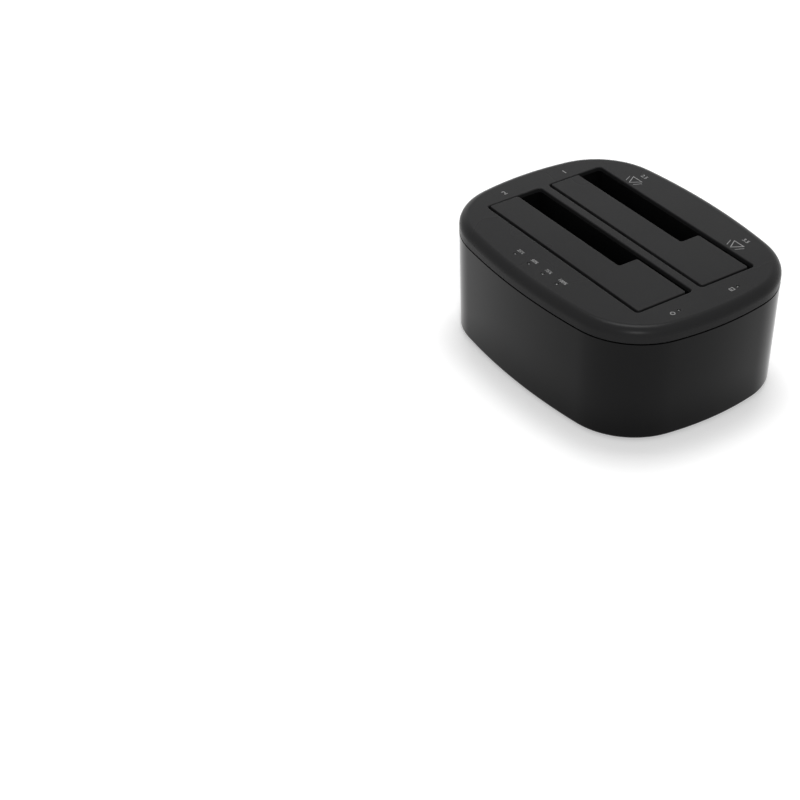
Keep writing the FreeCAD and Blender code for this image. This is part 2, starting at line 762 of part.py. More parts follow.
def make_flap(bay):
    label = bay.name + "_flap"
    stop_gap = 0.4
    web_reach = 9
    overlap = 0.6
    spine_inset = 6
    rib_inset = 1.5
    rib_count = 4
    brace_inset = 2
    brace_steps = (8, 20)
    left = dim.bay_left + dim.flap_left_gap
    right = dim.bay_right - dim.flap_right_gap
    front, rear = bay.flap_front, bay.flap_rear
    body = new_body(label)
    plan = new_sketch(body, label + "_plan", height=flap_under)
    outline = [(left, front), (right, front), (right, rear), (dim.slot_end, rear)]
    outline += [(dim.slot_end, bay.slot_front), (left, bay.slot_front)]
    polygon(plan, outline)
    plate = pad(body, plan, dim.flap_thickness)
    corners = edges_where(plate.Shape, stands_upright)
    rounded = dress(body, "Fillet", label + "_corners", plate, corners, dim.flap_corner)
    top_edges = level_edges(rounded.Shape, dim.body_height.number)
    dress(body, "Chamfer", label + "_edge", rounded, top_edges, dim.flap_bevel)

    # The web passes under the lid's edge, meets its underside as a stop, and rises into the flap
    lug_start = dim.lug_outer - dim.lug_length
    web_top = lid_under - stop_gap
    web_end = bay.hinge_y + web_reach
    foot = dim.hinge_height - dim.hinge_barrel
    web = new_sketch(body, label + "_web", "YZ_Plane", lug_start)
    profile = [(bay.hinge_y, web_top), (front + overlap, web_top), (front + overlap, flap_under + overlap)]
    profile += [(web_end, flap_under + overlap), (web_end, flap_under - overlap)]
    profile += [(bay.hinge_y + web_reach / 2, foot + overlap), (bay.hinge_y, foot)]
    polygon(web, profile)
    web_pad = pad(body, web, dim.lug_length)
    barrel = new_sketch(body, label + "_barrel", "YZ_Plane", lug_start)
    circle(barrel, bay.hinge_y, dim.hinge_height, dim.hinge_barrel)
    barrel_pad = pad(body, barrel, dim.lug_length)
    pair = body.newObject("PartDesign::Mirrored", label + "_lug_pair")
    pair.Originals = [web_pad, barrel_pad]
    pair.MirrorPlane = (origin_plane(body, "YZ_Plane"), [""])
    body.Tip = pair
    doc.recompute()
    bore = new_sketch(body, label + "_bore", "YZ_Plane", -dim.lug_outer)
    circle(bore, bay.hinge_y, dim.hinge_height, dim.pin_radius + dim.pin_clearance)
    pocket(body, bore, dim.lug_outer * 2, reverse=True)

    spine = new_sketch(body, label + "_spine", height=flap_under)
    spine_y = (front + bay.slot_front + dim.rib_wall) / 2
    rectangle(spine, left + spine_inset, right - spine_inset, spine_y, spine_y + dim.rib_wall)
    pad(body, spine, dim.rib_depth, reverse=True)
    rib = new_sketch(body, label + "_cross_rib", height=flap_under)
    start = -dim.rib_pitch * (rib_count - 1) / 2
    rectangle(rib, start, start + dim.rib_wall, front + rib_inset, bay.slot_front - rib_inset)
    first = pad(body, rib, dim.rib_depth, reverse=True)
    repeat_along_x(body, label + "_cross_ribs", first, rib, dim.rib_pitch.number, rib_count)
    brace = new_sketch(body, label + "_braces", height=flap_under)
    for step in brace_steps:
        low_x = dim.slot_end + step
        rectangle(brace, low_x, low_x + dim.rib_wall, bay.slot_front - brace_inset, rear - brace_inset)
    pad(body, brace, dim.rib_depth, reverse=True)


# Hinge: a steel pin through both barrels, and a wound spring with a leg under the flap

def make_hinge_pin(bay):
    length = dim.bay_right - dim.bay_left + dim.pin_seat * 2
    start = (dim.bay_left - dim.pin_seat, bay.hinge_y, dim.hinge_height)
    register(rod(bay.name + "_pin", dim.pin_radius, start, length, "X"), bay.name + "_hinge_pin")


def spring_leg(start, direction, length):
    """A straight square wire from a point along a direction."""
    half = dim.spring_half.number
    leg = Part.makeBox(2 * half, 2 * half, length, Vector(-half, -half, 0))
    leg.Placement = FreeCAD.Placement(start, FreeCAD.Rotation(Vector(0, 0, 1), direction))
    return leg


def make_flap_spring(bay):
    turns = 2
    coil_middle = -4
    lower_length = 2.2
    upper_length = 7.5
    radius, half = dim.coil_radius.number, dim.spring_half.number
    length = dim.coil_length.number
    corners = [(radius - half, -half), (radius + half, -half), (radius + half, half), (radius - half, half)]
    section = Part.makePolygon([Vector(x, 0, z) for x, z in corners + corners[:1]])
    helix = Part.makeHelix(length / turns, length, radius)
    coil = Part.Wire(helix.Edges).makePipeShell([section], True, True)
    # The coil starts and ends straight below the axis, where both legs take over
    start = Vector(coil_middle - length / 2, bay.hinge_y.number, dim.hinge_height.number)
    coil.Placement = FreeCAD.Placement(start, AXIS_TURNS["X"])
    below = start - Vector(0, 0, radius)
    lower_leg = spring_leg(below, Vector(0, -0.12, -1), lower_length)
    upper_leg = spring_leg(below + Vector(length, 0, 0), Vector(0, 1, 0.5), upper_length)
    spring = doc.addObject("Part::Feature", bay.name + "_spring")
    spring.Shape = coil.fuse([lower_leg, upper_leg])
    spring.Placement = FreeCAD.Placement()
    register(spring, bay.name + "_flap_spring")


# Drive socket: moulded header with the two keyed cavities, guide horns and a row of contacts

def make_drive_socket(bay):
    label = bay.name + "_drive_socket"
    horn_half = 1.6
    tip_bevel = 0.6
    key_arm = 1.2
    key_rise = 0.7
    body = new_body(label)
    top = dim.board_top + dim.socket_height
    half_depth = dim.socket_depth / 2
    low_x = dim.socket_centre - dim.socket_length / 2
    high_x = dim.socket_centre + dim.socket_length / 2
    low_horn = dim.socket_centre - dim.socket_reach / 2
    high_horn = dim.socket_centre + dim.socket_reach / 2
    plan = new_sketch(body, label + "_plan", height=dim.board_top)
    rectangle(plan, low_horn, high_horn, bay.socket_y - half_depth, bay.socket_y + half_depth)
    pad(body, plan, dim.socket_height)
    horns = new_sketch(body, label + "_horns", height=top)
    for start, stop in ((low_horn, low_x), (high_x, high_horn)):
        rectangle(horns, start, stop, bay.socket_y - horn_half, bay.socket_y + horn_half)
    horn_pad = pad(body, horns, dim.horn_height)
    tips = level_edges(horn_pad.Shape, (top + dim.horn_height).number)
    dress(body, "Chamfer", label + "_horn_tips", horn_pad, tips, tip_bevel)
    cavities = new_sketch(body, label + "_cavities", height=top)
    power_start = dim.socket_centre - (dim.power_key + dim.key_gap + dim.signal_key) / 2
    signal_start = power_start + dim.power_key + dim.key_gap
    low_y = bay.socket_y - dim.key_width / 2
    high_y = bay.socket_y + dim.key_width / 2
    for start, length in ((power_start, dim.power_key), (signal_start, dim.signal_key)):
        stop = start + length
        points = [(start, low_y), (stop, low_y), (stop, high_y), (start + key_arm, high_y)]
        points += [(start + key_arm, high_y + key_rise), (start, high_y + key_rise)]
        polygon(cavities, points)
    pocket(body, cavities, dim.key_depth)

    first_contact = 1
    contact_width = 0.8
    contact_depth = 0.35
    contact_rise = 5
    floor = top - dim.key_depth
    members = []
    for count, start in ((15, power_start), (7, signal_start)):
        for index in range(count):
            x = start + first_contact + dim.contact_pitch * index
            low = (x, low_y, floor)
            high = (x + contact_width, low_y + contact_depth, floor + contact_rise)
            members.append(block("%s_contact_%d" % (bay.name, len(members)), low, high))
    register(group(bay.name + "_contacts", members), bay.name + "_socket_contacts")


# Main board with its bevelled rear corners and four screw holes

def make_main_board():
    hole_radius = 1.5
    body = new_body("main_board")
    plan = new_sketch(body, "board_plan", height=board_under)
    rectangle(plan, -dim.board_half, dim.board_half, dim.board_front, dim.board_rear)
    board = pad(body, plan, dim.board_thickness)
    rear = dim.board_rear.number
    corners = edges_where(board.Shape, lambda reach: stands_upright(reach) and reach.YMin > rear - NEAR)
    dress(body, "Chamfer", "board_bevels", board, corners, dim.board_bevel)
    holes = new_sketch(body, "board_holes", height=dim.board_top)
    for x, y in board_screw_places():
        octagon(holes, x, y, hole_radius)
    pocket(body, holes, dim.board_thickness)


# Data socket: a metal box whose mouth is a wide room with a narrower one above it, and two tongues

def make_usb_socket():
    wall = 0.4
    low_wall = 0.6
    mouth_depth = 10
    wide_half = 4.25
    narrow_half = 3
    wide_height = 6.4
    shoulder = 1.2
    lower_half, lower_low, lower_high, lower_reach = 2.8, 2.1, 5.2, 9
    upper_half, upper_low, upper_high, upper_reach = 2, 1.6, 0.8, 8.6
    middle = dim.usb_centre
    top = dim.board_top + dim.usb_height
    floor = dim.board_top + low_wall
    shelf = floor + wide_height
    roof = top - wall
    shell = new_body("usb_socket_shell")
    plan = new_sketch(shell, "usb_plan", "XZ_Plane", -dim.usb_back)
    rectangle(plan, middle - dim.usb_width / 2, middle + dim.usb_width / 2, dim.board_top, top)
    pad(shell, plan, dim.usb_face - dim.usb_back, reverse=True)
    mouth = new_sketch(shell, "usb_mouth", "XZ_Plane", -dim.usb_face)
    points = [(middle - wide_half, floor), (middle + wide_half, floor), (middle + wide_half, shelf)]
    points += [(middle + narrow_half, shelf + shoulder), (middle + narrow_half, roof)]
    points += [(middle - narrow_half, roof), (middle - narrow_half, shelf + shoulder)]
    points += [(middle - wide_half, shelf)]
    polygon(mouth, points)
    pocket(shell, mouth, mouth_depth, reverse=True)
    back = dim.usb_face - mouth_depth
    low = (middle - lower_half, back, floor + lower_low)
    high = (middle + lower_half, back + lower_reach, floor + lower_high)
    lower = block("usb_lower_tongue", low, high)
    low = (middle - upper_half, back, roof - upper_low)
    high = (middle + upper_half, back + upper_reach, roof - upper_high)
    upper = block("usb_upper_tongue", low, high)
    register(group("usb_tongues", [lower, upper]), "usb_socket_tongues")


# Power inlet: a moulded block with a round collar and bore, and its pin with a tapered tip

def make_dc_socket():
    collar_length = 4
    block_length = 10
    block_half = 4.5
    bore_wall = 4
    pin_length = 7
    rear = dim.dc_face - collar_length
    front = rear - block_length
    bore_start = front + bore_wall
    low = (dim.dc_centre - block_half, front, dim.board_top)
    high = (dim.dc_centre + block_half, rear, dim.port_height + block_half)
    collar_start = (dim.dc_centre, rear, dim.port_height)
    collar = rod("dc_collar_ring", dim.dc_collar, collar_start, collar_length, "Y")
    outside = union("dc_outside", [block("dc_block", low, high), collar])
    pin_start = (dim.dc_centre, bore_start, dim.port_height)
    bore = rod("dc_bore_room", dim.dc_bore, pin_start, dim.dc_face - bore_start + 1, "Y")
    register(cut("dc_housing", outside, [bore]), "dc_socket_housing")
    shank = rod("dc_pin_shank", dim.dc_pin, pin_start, pin_length, "Y")
    tip = doc.addObject("Part::Cone", "dc_pin_tip")
    tip.Placement = FreeCAD.Placement(Vector(), AXIS_TURNS["Y"])
    bind(tip, "Radius1", dim.dc_pin)
    bind(tip, "Radius2", dim.dc_pin / 2)
    bind(tip, "Height", dim.dc_pin)
    for direction, place in zip("xyz", (dim.dc_centre, bore_start + pin_length, dim.port_height)):
        bind(tip, "Placement.Base." + direction, place)
    register(union("dc_pin_solid", [shank, tip]), "dc_socket_pin")


# Buttons: a round plunger with a retaining flange behind the wall, and the switch that it works

def make_button(name, x, radius, travel, switch_half):
    label = name + "_button"
    flange_reach = 0.9
    bevel = 0.4
    room_gap = 0.08
    end_gap = 0.4
    body = new_body(label)
    bind(body, "Placement.Base.x", x)
    bind(body, "Placement.Base.z", dim.port_height)
    # Half section: the local Y runs along the button's axis and the local X is its radius
    profile = new_sketch(body, label + "_profile")
    flange_back = dim.flange_face - dim.flange_thickness
    points = [(0, dim.stem_end), (dim.stem_radius, dim.stem_end), (dim.stem_radius, flange_back)]
    points += [(radius + flange_reach, flange_back), (radius + flange_reach, dim.flange_face)]
    points += [(radius, dim.flange_face), (radius, dim.button_face - bevel)]
    points += [(radius - bevel, dim.button_face), (0, dim.button_face)]
    polygon(profile, points)
    turned = body.newObject("PartDesign::Revolution", label + "_turned")
    turned.Profile = profile
    turned.ReferenceAxis = (profile, ["V_Axis"])
    turned.Angle = 360
    doc.recompute()

    # The stem slides in a blind room of the switch, a little deeper than its travel
    low = (x - switch_half, dim.switch_front, dim.board_top)
    high = (x + switch_half, dim.switch_rear, dim.port_height + switch_half)
    room_start = dim.stem_end - travel - end_gap
    room_length = dim.switch_rear - room_start + 1
    start = (x, room_start, dim.port_height)
    room = rod(name + "_switch_room", dim.stem_radius + room_gap, start, room_length, "Y")
    case = cut(name + "_switch_case", block(name + "_switch_block", low, high), [room])
    register(case, name + "_switch")


# Lights: a small board under the lid, its chips and the clear pipes that end flush with the lid

def make_light_board(name, middle, reach, lights, studs):
    chip_half = 0.8
    screw_gap = 1.2
    pipe_sides = 12
    pipe_low = light_board_top + dim.light_chip
    (middle_x, middle_y), (reach_x, reach_y) = middle, reach
    low = (middle_x - reach_x, middle_y - reach_y, dim.light_board_low)
    high = (middle_x + reach_x, middle_y + reach_y, light_board_top)
    plate = block(name + "_plate", low, high)
    holes = []
    for x, y in studs:
        start = (x, y, dim.light_board_low - 1)
        length = dim.light_board_thickness + 2
        holes.append(prism("%s_hole_%d" % (name, len(holes)), 8, screw_gap, start, length))
    register(cut(name + "_board", plate, holes), name + "_light_board")
    chips = []
    pipes = []
    for x, y in lights:
        low = (x - chip_half, y - chip_half, light_board_top)
        high = (x + chip_half, y + chip_half, pipe_low)
        chips.append(block("%s_chip_%d" % (name, len(chips)), low, high))
        length = dim.body_height - pipe_low
        pipe_name = "%s_pipe_%d" % (name, len(pipes))
        pipes.append(prism(pipe_name, pipe_sides, dim.light_radius, (x, y, pipe_low), length))
    register(group(name + "_chips", chips), name + "_light_chips")
    register(group(name + "_pipes", pipes), name + "_light_pipes")


# Ribbons: flat leads from the main board to the light boards, each with one round bend

def ribbon(label, role, middle, start, turn):
    """A level run from start to turn and an upright run to the light board's plug."""
    half = dim.ribbon_thickness / 2
    side = 1 if turn > start else -1
    outer, inner = Size(turn, repr(turn)) + half * side, Size(turn, repr(turn)) - half * side
    low, high = dim.ribbon_level - half, dim.ribbon_level + half
    body = new_body(label)
    route = new_sketch(body, label + "_route", role, middle - dim.ribbon_half)
    points = [(start, low), (outer, low), (outer, dim.plug_low)]
    points += [(inner, dim.plug_low), (inner, high), (start, high)]
    polygon(route, points)
    strip = pad(body, route, dim.ribbon_half * 2)
    outer_edge = bend_edge(strip.Shape, role, outer.number, low.number)
    bent = dress(body, "Fillet", label + "_outer_bend", strip, outer_edge, dim.ribbon_bend)
    inner_edge = bend_edge(bent.Shape, role, inner.number, high.number)
    dress(body, "Fillet", label + "_inner_bend", bent, inner_edge, dim.ribbon_bend - dim.ribbon_thickness)


def bend_edge(shape, role, place, height):
    """The level edge across a ribbon at one place of its route."""
    def here(reach):
        across = reach.YMin if role == "YZ_Plane" else reach.XMin
        flat = reach.ZLength < NEAR and abs(reach.ZMin - height) < NEAR
        thin = reach.YLength if role == "YZ_Plane" else reach.XLength
        return flat and thin < NEAR and abs(across - place) < NEAR
    return edges_where(shape, here)


def make_ribbons():
    front_start, front_turn = -34.0, -43.0
    end_start, end_turn = 52.0, 58.6
    margin = 1
    header_length = 5.5
    header_top = dim.board_top + 2.4
    front_plug = (-45, -41.4)
    end_plug = (57.2, 60.4)
    half = dim.ribbon_half + margin
    middle = dim.progress_centre
    plug_top = dim.light_board_low
    ribbon("progress_light_ribbon", "YZ_Plane", middle, front_start, front_turn)
    ribbon("status_light_ribbon", "XZ_Plane", ZERO, end_start, end_turn)
    front_low = (middle - half, front_start, dim.board_top)
    front_high = (middle + half, front_start + header_length, header_top)
    end_low = (end_start - header_length, -half, dim.board_top)
    end_high = (end_start, half, header_top)
    front_plug_low = (middle - half, front_plug[0], dim.plug_low)
    front_plug_high = (middle + half, front_plug[1], plug_top)
    members = [
        block("front_header", front_low, front_high),
        block("end_header", end_low, end_high),
        block("front_plug", front_plug_low, front_plug_high),
        block("end_plug", (end_plug[0], -half, dim.plug_low), (end_plug[1], half, plug_top)),
    ]
    register(group("headers", members), "ribbon_connectors")


# Parts on the main board

def make_bridge_chip():
    middle_x, middle_y = 23, -5
    body_half, body_height = 7, 1.4
    lead_reach, lead_half, lead_height = 8.2, 0.25, 0.5
    lead_pitch = 1.6
    lead_count = 8
    top = dim.board_top
    low = (middle_x - body_half, middle_y - body_half, top)
    high = (middle_x + body_half, middle_y + body_half, top + body_height)
    members = [block("bridge_block", low, high)]
    for index in range(lead_count):
        shift = lead_pitch * (index - (lead_count - 1) / 2)
        for name, reach_x, reach_y, x, y in (
            ("x", lead_reach, lead_half, middle_x, middle_y + shift),
            ("y", lead_half, lead_reach, middle_x + shift, middle_y),
        ):
            low = (x - reach_x, y - reach_y, top)
            high = (x + reach_x, y + reach_y, top + lead_height)
            members.append(block("bridge_lead_%s%d" % (name, index), low, high))
    register(union("bridge_solid", members), "bridge_chip")


def make_board_parts():
    memory_x, memory_y, memory_height = (36, 41), (-10, -6), 1.6
    crystal_x, crystal_y, crystal_height = (34, 37.2), (-2, 0.8), 1.1
    tab_x, tab_y, tab_height = (-34, -28), (19.2, 21), 0.6
    regulator_x, regulator_y, regulator_height = (-34.2, -27.8), (13, 19.4), 2.3
    coil_side, coil_height, coil_y = 7, 4, 36
    can_radius, can_height, can_y = 3.1, 7.5, 38.4
    can_sides = 16
    top = dim.board_top

    def on_board(name, span_x, span_y, height):
        return block(name, (span_x[0], span_y[0], top), (span_x[1], span_y[1], top + height))

    register(on_board("memory_block", memory_x, memory_y, memory_height), "memory_chip")
    register(on_board("crystal_block", crystal_x, crystal_y, crystal_height), "timing_crystal")
    coils = []
    for x in (-46, 22):
        high = (x + coil_side, coil_y + coil_side, top + coil_height)
        coils.append(block("coil_%d" % len(coils), (x, coil_y, top), high))
    register(group("coils", coils), "power_coils")
    cans = []
    for x in (-20, 2, 44):
        cans.append(prism("can_%d" % len(cans), can_sides, can_radius, (x, can_y, top), can_height))
    register(group("cans", cans), "filter_capacitors")
    tab = on_board("regulator_tab", tab_x, tab_y, tab_height)
    package = on_board("regulator_package", regulator_x, regulator_y, regulator_height)
    register(union("regulator_solid", [tab, package]), "voltage_regulator")


# Feet

def make_feet():
    names = ("rear_right_foot", "rear_left_foot", "front_left_foot", "front_right_foot")
    for name, (x, y) in zip(names, four_places(dim.foot_x, dim.foot_y)):
        body = new_body(name)
        bind(body, "Placement.Base.x", x)
        bind(body, "Placement.Base.y", y)
        plan = new_sketch(body, name + "_plan")
        circle(plan, 0, 0, dim.foot_radius)
        pad(body, plan, dim.foot_gap + dim.foot_recess)


# Screws: faceted heads and shanks, driven up unless said otherwise

def screw_set(label, places, face, head_radius, head_height, shank_radius, shank_length, driven_down=False):
    """Screws of one kind: the head lies on the face that it clamps."""
    head_sides = 8
    shank_sides = 6
    members = []
    for x, y in places:
        name = "%s_%d" % (label, len(members))
        head_low = face if driven_down else face - head_height
        shank_low = face - shank_length if driven_down else face
        head = prism(name + "_head", head_sides, head_radius, (x, y, head_low), head_height)
        shank = prism(name + "_shank", shank_sides, shank_radius, (x, y, shank_low), shank_length)
        members.append(union(name, [head, shank]))
    register(group(label + "_group", members), label)


def make_screws():
    case_seat = dim.foot_gap + dim.seat_depth
    ear_under = dim.ear_top - dim.ear_thickness
    light_studs = progress_studs() + status_studs()
    light_length = dim.light_board_thickness
    screw_set("case_screws", four_places(dim.post_x, dim.post_y), case_seat, 2.6, 1.2, 1.1, 12)
    screw_set("board_screws", board_screw_places(), dim.board_top, 2.4, 1.4, 0.95, 4, driven_down=True)
    screw_set("well_frame_screws", ear_places(), ear_under, 2.2, 1.2, 1.1, dim.ear_thickness)
    screw_set("light_board_screws", light_studs, dim.light_board_low, 1.7, 0.9, 0.9, light_length)


make_base_plate()
make_side_shell()
make_top_cover()
make_well_frame()
for bay in bays:
    make_flap(bay)
    make_hinge_pin(bay)
    make_flap_spring(bay)
    make_drive_socket(bay)
make_main_board()
make_usb_socket()
make_dc_socket()
make_button("power", dim.power_button_x, dim.power_button_radius, dim.power_travel, dim.power_switch_half)
make_button("clone", dim.clone_button_x, dim.clone_button_radius, dim.clone_travel, dim.clone_switch_half)
progress_middle = (dim.progress_centre, dim.progress_y)
progress_reach = (dim.progress_board_length / 2, dim.progress_board_width / 2)
status_reach = (dim.status_board_width / 2, dim.status_board_length / 2)
make_light_board("progress", progress_middle, progress_reach, progress_places(), progress_studs())
make_light_board("status", (dim.status_x, ZERO), status_reach, status_places(), status_studs())
make_ribbons()
make_bridge_chip()
make_board_parts()
make_feet()
make_screws()

doc.recompute()
for item in doc.Objects:
    if "Invalid" in item.State or "Error" in item.State:
        raise RuntimeError("%s failed: %s" % (item.Name, item.State))
for label, part in subparts.items():
    if part.Shape.isNull() or not part.Shape.isValid():
        raise RuntimeError("the solid of %s is not valid" % label)
for label, part in subparts.items():
    part.Shape.exportStep("parts/%s.step" % label)
    print("%-24s solids %d volume %.1f" % (label, len(part.Shape.Solids), part.Shape.Volume))
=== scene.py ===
import math

import bmesh
import bpy
from mathutils import Matrix, Vector


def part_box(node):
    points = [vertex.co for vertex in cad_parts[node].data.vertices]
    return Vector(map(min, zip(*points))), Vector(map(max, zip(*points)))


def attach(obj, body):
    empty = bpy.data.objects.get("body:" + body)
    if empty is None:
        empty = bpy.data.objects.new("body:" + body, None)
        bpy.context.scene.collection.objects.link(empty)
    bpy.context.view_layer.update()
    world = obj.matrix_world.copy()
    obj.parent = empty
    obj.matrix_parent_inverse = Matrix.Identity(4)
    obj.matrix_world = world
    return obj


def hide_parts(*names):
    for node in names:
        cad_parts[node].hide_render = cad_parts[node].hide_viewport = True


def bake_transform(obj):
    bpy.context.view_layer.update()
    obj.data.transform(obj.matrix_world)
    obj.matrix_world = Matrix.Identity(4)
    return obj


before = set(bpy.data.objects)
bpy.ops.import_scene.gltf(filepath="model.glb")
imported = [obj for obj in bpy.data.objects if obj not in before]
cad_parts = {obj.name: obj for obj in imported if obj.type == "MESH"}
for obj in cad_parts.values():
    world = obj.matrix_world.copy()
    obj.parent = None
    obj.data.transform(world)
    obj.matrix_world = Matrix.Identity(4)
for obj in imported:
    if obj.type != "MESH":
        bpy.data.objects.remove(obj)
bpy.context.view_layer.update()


# Camera: it stands in front of the dock's right end and looks down at it, as the photograph
# does. Its place, turn and lens were fitted to the photograph's perspective.

def place_object(name, data):
    """A new object in the scene."""
    item = bpy.data.objects.new(name, data)
    bpy.context.scene.collection.objects.link(item)
    return item


MM = 0.001
camera = place_object("camera", bpy.data.cameras.new("camera"))
bpy.context.scene.camera = camera
camera.data.sensor_width = 36
camera.data.lens = 85.786
camera.location = Vector((546.21, -467.75, 487.49)) * MM
heading = Matrix.Rotation(math.radians(57.08), 3, "Z")
pitch = Matrix.Rotation(math.radians(54.11), 3, "X")
roll = Matrix.Rotation(math.radians(-1.005), 3, "Z")
camera.rotation_euler = (heading @ pitch @ roll).to_euler()
bpy.context.scene.view_settings.view_transform = "Standard"


# Studio: a plain white floor, an even white room and three soft lamps. Floor and room show white
# to the camera and in reflections. The floor keeps the dock's shadow, lifted by a painted glow that
# is weaker near the dock and stronger further out, where it brightens the floor.

def add_node(tree, kind, wires=None, **settings):
    """Place one node, set it up, and feed its sockets with values or with other sockets."""
    node = tree.nodes.new(kind)
    for key, value in settings.items():
        setattr(node, key, value)
    for socket, source in (wires or {}).items():
        if isinstance(source, bpy.types.NodeSocket):
            tree.links.new(source, node.inputs[socket])
        else:
            node.inputs[socket].default_value = source
    return node


def combine(tree, operation, first, second):
    """One value made of two."""
    return add_node(tree, "ShaderNodeMath", {0: first, 1: second}, operation=operation).outputs[0]


def object_place(tree):
    """Coordinates that stay with the piece."""
    return add_node(tree, "ShaderNodeTexCoord").outputs["Object"]


def seen_rays(tree):
    """One where a ray comes from the camera or from a reflecting or clear surface."""
    path = add_node(tree, "ShaderNodeLightPath").outputs
    seen = combine(tree, "MAXIMUM", path["Is Camera Ray"], path["Is Glossy Ray"])
    return combine(tree, "MAXIMUM", seen, path["Is Transmission Ray"])


def mesh_piece(name, points, faces):
    """A new object in the dock's frame from points and faces."""
    mesh = bpy.data.meshes.new(name)
    mesh.from_pydata([tuple(point) for point in points], [], faces)
    mesh.update()
    return place_object(name, mesh)


FLOOR_REACH = 4.0
GLOW_START = 0.3
GLOW_END = 1.8
NEAR_GLOW = 0.27
FAR_GLOW = 0.7
floor_corners = [(x * FLOOR_REACH, y * FLOOR_REACH, 0) for x, y in ((-1, -1), (1, -1), (1, 1), (-1, 1))]
floor = mesh_piece("floor", floor_corners, [(0, 1, 2, 3)])
floor_paper = bpy.data.materials.new("floor_paper")
floor_paper.use_nodes = True
paper_tree = floor_paper.node_tree
paper_shader = paper_tree.nodes["Principled BSDF"]
paper_shader.inputs["Base Color"].default_value = (0.9, 0.9, 0.9, 1)
paper_shader.inputs["Roughness"].default_value = 0.9
paper_shader.inputs["Specular IOR Level"].default_value = 0
paper_shader.inputs["Emission Color"].default_value = (1, 1, 1, 1)
distance = add_node(paper_tree, "ShaderNodeVectorMath", {0: object_place(paper_tree)}, operation="LENGTH")
# Painted light: an emission glow seen by camera and reflections, weaker near the dock and stronger further
# out.
glow = add_node(paper_tree, "ShaderNodeMapRange",
                {0: distance.outputs["Value"], 1: GLOW_START, 2: GLOW_END, 3: NEAR_GLOW, 4: FAR_GLOW})
paper_lift = combine(paper_tree, "MULTIPLY", seen_rays(paper_tree), glow.outputs[0])
paper_tree.links.new(paper_lift, paper_shader.inputs["Emission Strength"])
floor.data.materials.append(floor_paper)

ROOM_LIGHT = 0.38
ROOM_SEEN = 1.0
room = bpy.data.worlds.new("room")
bpy.context.scene.world = room
room.use_nodes = True
room_tree = room.node_tree
room_light = room_tree.nodes["Background"]
room_light.inputs["Color"].default_value = (1, 1, 1, 1)
room_level = add_node(room_tree, "ShaderNodeMapRange", {0: seen_rays(room_tree), 3: ROOM_LIGHT, 4: ROOM_SEEN})
room_tree.links.new(room_level.outputs[0], room_light.inputs["Strength"])


def softbox(name, place, target, width, height, power):
    """A rectangular lamp that faces a point of the dock."""
    lamp = place_object(name, bpy.data.lights.new(name, "AREA"))
    lamp.data.shape = "RECTANGLE"
    lamp.data.size = width
    lamp.data.size_y = height
    lamp.data.energy = power
    lamp.location = place
    lamp.visible_camera = False
    lamp.rotation_euler = (Vector(target) - Vector(place)).to_track_quat("-Z", "Y").to_euler()


dock_middle = (0, 0, 0.03)
softbox("overhead_lamp", (-0.24, 0.2, 1.26), dock_middle, width=0.5, height=0.5, power=8)
softbox("key_lamp", (0.86, -0.62, 0.7), dock_middle, width=0.25, height=0.25, power=5)
softbox("rim_lamp", (-1.25, 0.72, 0.42), dock_middle, width=1.2, height=0.3, power=1.2)


# Side shell: the polished black ring between lid and base plate. It is moulded in one piece, draws
# in towards the foot, and has a ledge inside for the base plate and openings at the rear.

lid_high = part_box("top_cover")[1]
shell_low, shell_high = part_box("side_shell")
half_length = lid_high.x
half_width = lid_high.y
seam = shell_high.z
foot = shell_low.z
LONG_ARC = 281 * MM
END_ARC = 138 * MM
CORNER_ARC = 34 * MM
OUTLINE_STEP = 1.5 * MM


def corner_centre():
    """Middle of the first corner's arc, which touches the long side's arc and the end's arc."""
    side = Vector((0, half_width - LONG_ARC))
    end = Vector((half_length - END_ARC, 0))
    span = end - side
    from_side = LONG_ARC - CORNER_ARC
    from_end = END_ARC - CORNER_ARC
    along = (span.length_squared + from_side ** 2 - from_end ** 2) / (2 * span.length)
    across = math.sqrt(from_side ** 2 - along ** 2)
    unit = span.normalized()
    return side + unit * along + Vector((unit.y, -unit.x)) * across


def plan_outline():
    """Points round the housing's plan, each with the direction that points straight out of it."""
    corner = corner_centre()
    side = Vector((0, half_width - LONG_ARC))
    end = Vector((half_length - END_ARC, 0))
    side_turn = math.atan2(corner.y - side.y, corner.x - side.x)
    end_turn = math.atan2(corner.y - end.y, corner.x - end.x)
    quarter = [(end, END_ARC, 0, end_turn), (corner, CORNER_ARC, end_turn, side_turn),
               (side, LONG_ARC, side_turn, math.pi / 2)]
    points = []
    for centre, radius, start, stop in quarter:
        count = math.ceil(radius * (stop - start) / OUTLINE_STEP)
        for step in range(count):
            turn = start + (stop - start) * step / count
            out = Vector((math.cos(turn), math.sin(turn)))
            points.append((centre + out * radius, out))
    top = (Vector((0, half_width)), Vector((0, 1)))
    upper = points + [top] + [(Vector((-p.x, p.y)), Vector((-n.x, n.y))) for p, n in reversed(points[1:])]
    last = [(Vector((-half_length, 0)), Vector((-1, 0)))]
    lower = [(Vector((p.x, -p.y)), Vector((n.x, -n.y))) for p, n in reversed(upper[1:])]
    return upper + last + lower


outline = plan_outline()


def plan_ring(inset, height):
    """The plan's outline drawn in by the inset, at one height."""
    return [Vector((p.x - n.x * inset, p.y - n.y * inset, height)) for p, n in outline]


def loft(name, rings, closed=False):
    """Skin a row of like rings. A closed row joins its last ring to its first; an open one is capped."""
    count = len(rings[0])
    points = [point for ring in rings for point in ring]
    rows = len(rings) if closed else len(rings) - 1
    faces = []
    for row in range(rows):
        low = row * count
        high = (row + 1) % len(rings) * count
        for index in range(count):
            after = (index + 1) % count
            faces.append((low + index, low + after, high + after, high + index))
    if not closed:
        faces.append(tuple(reversed(range(count))))
        faces.append(tuple(range(len(points) - count, len(points))))
    return mesh_piece(name, points, faces)


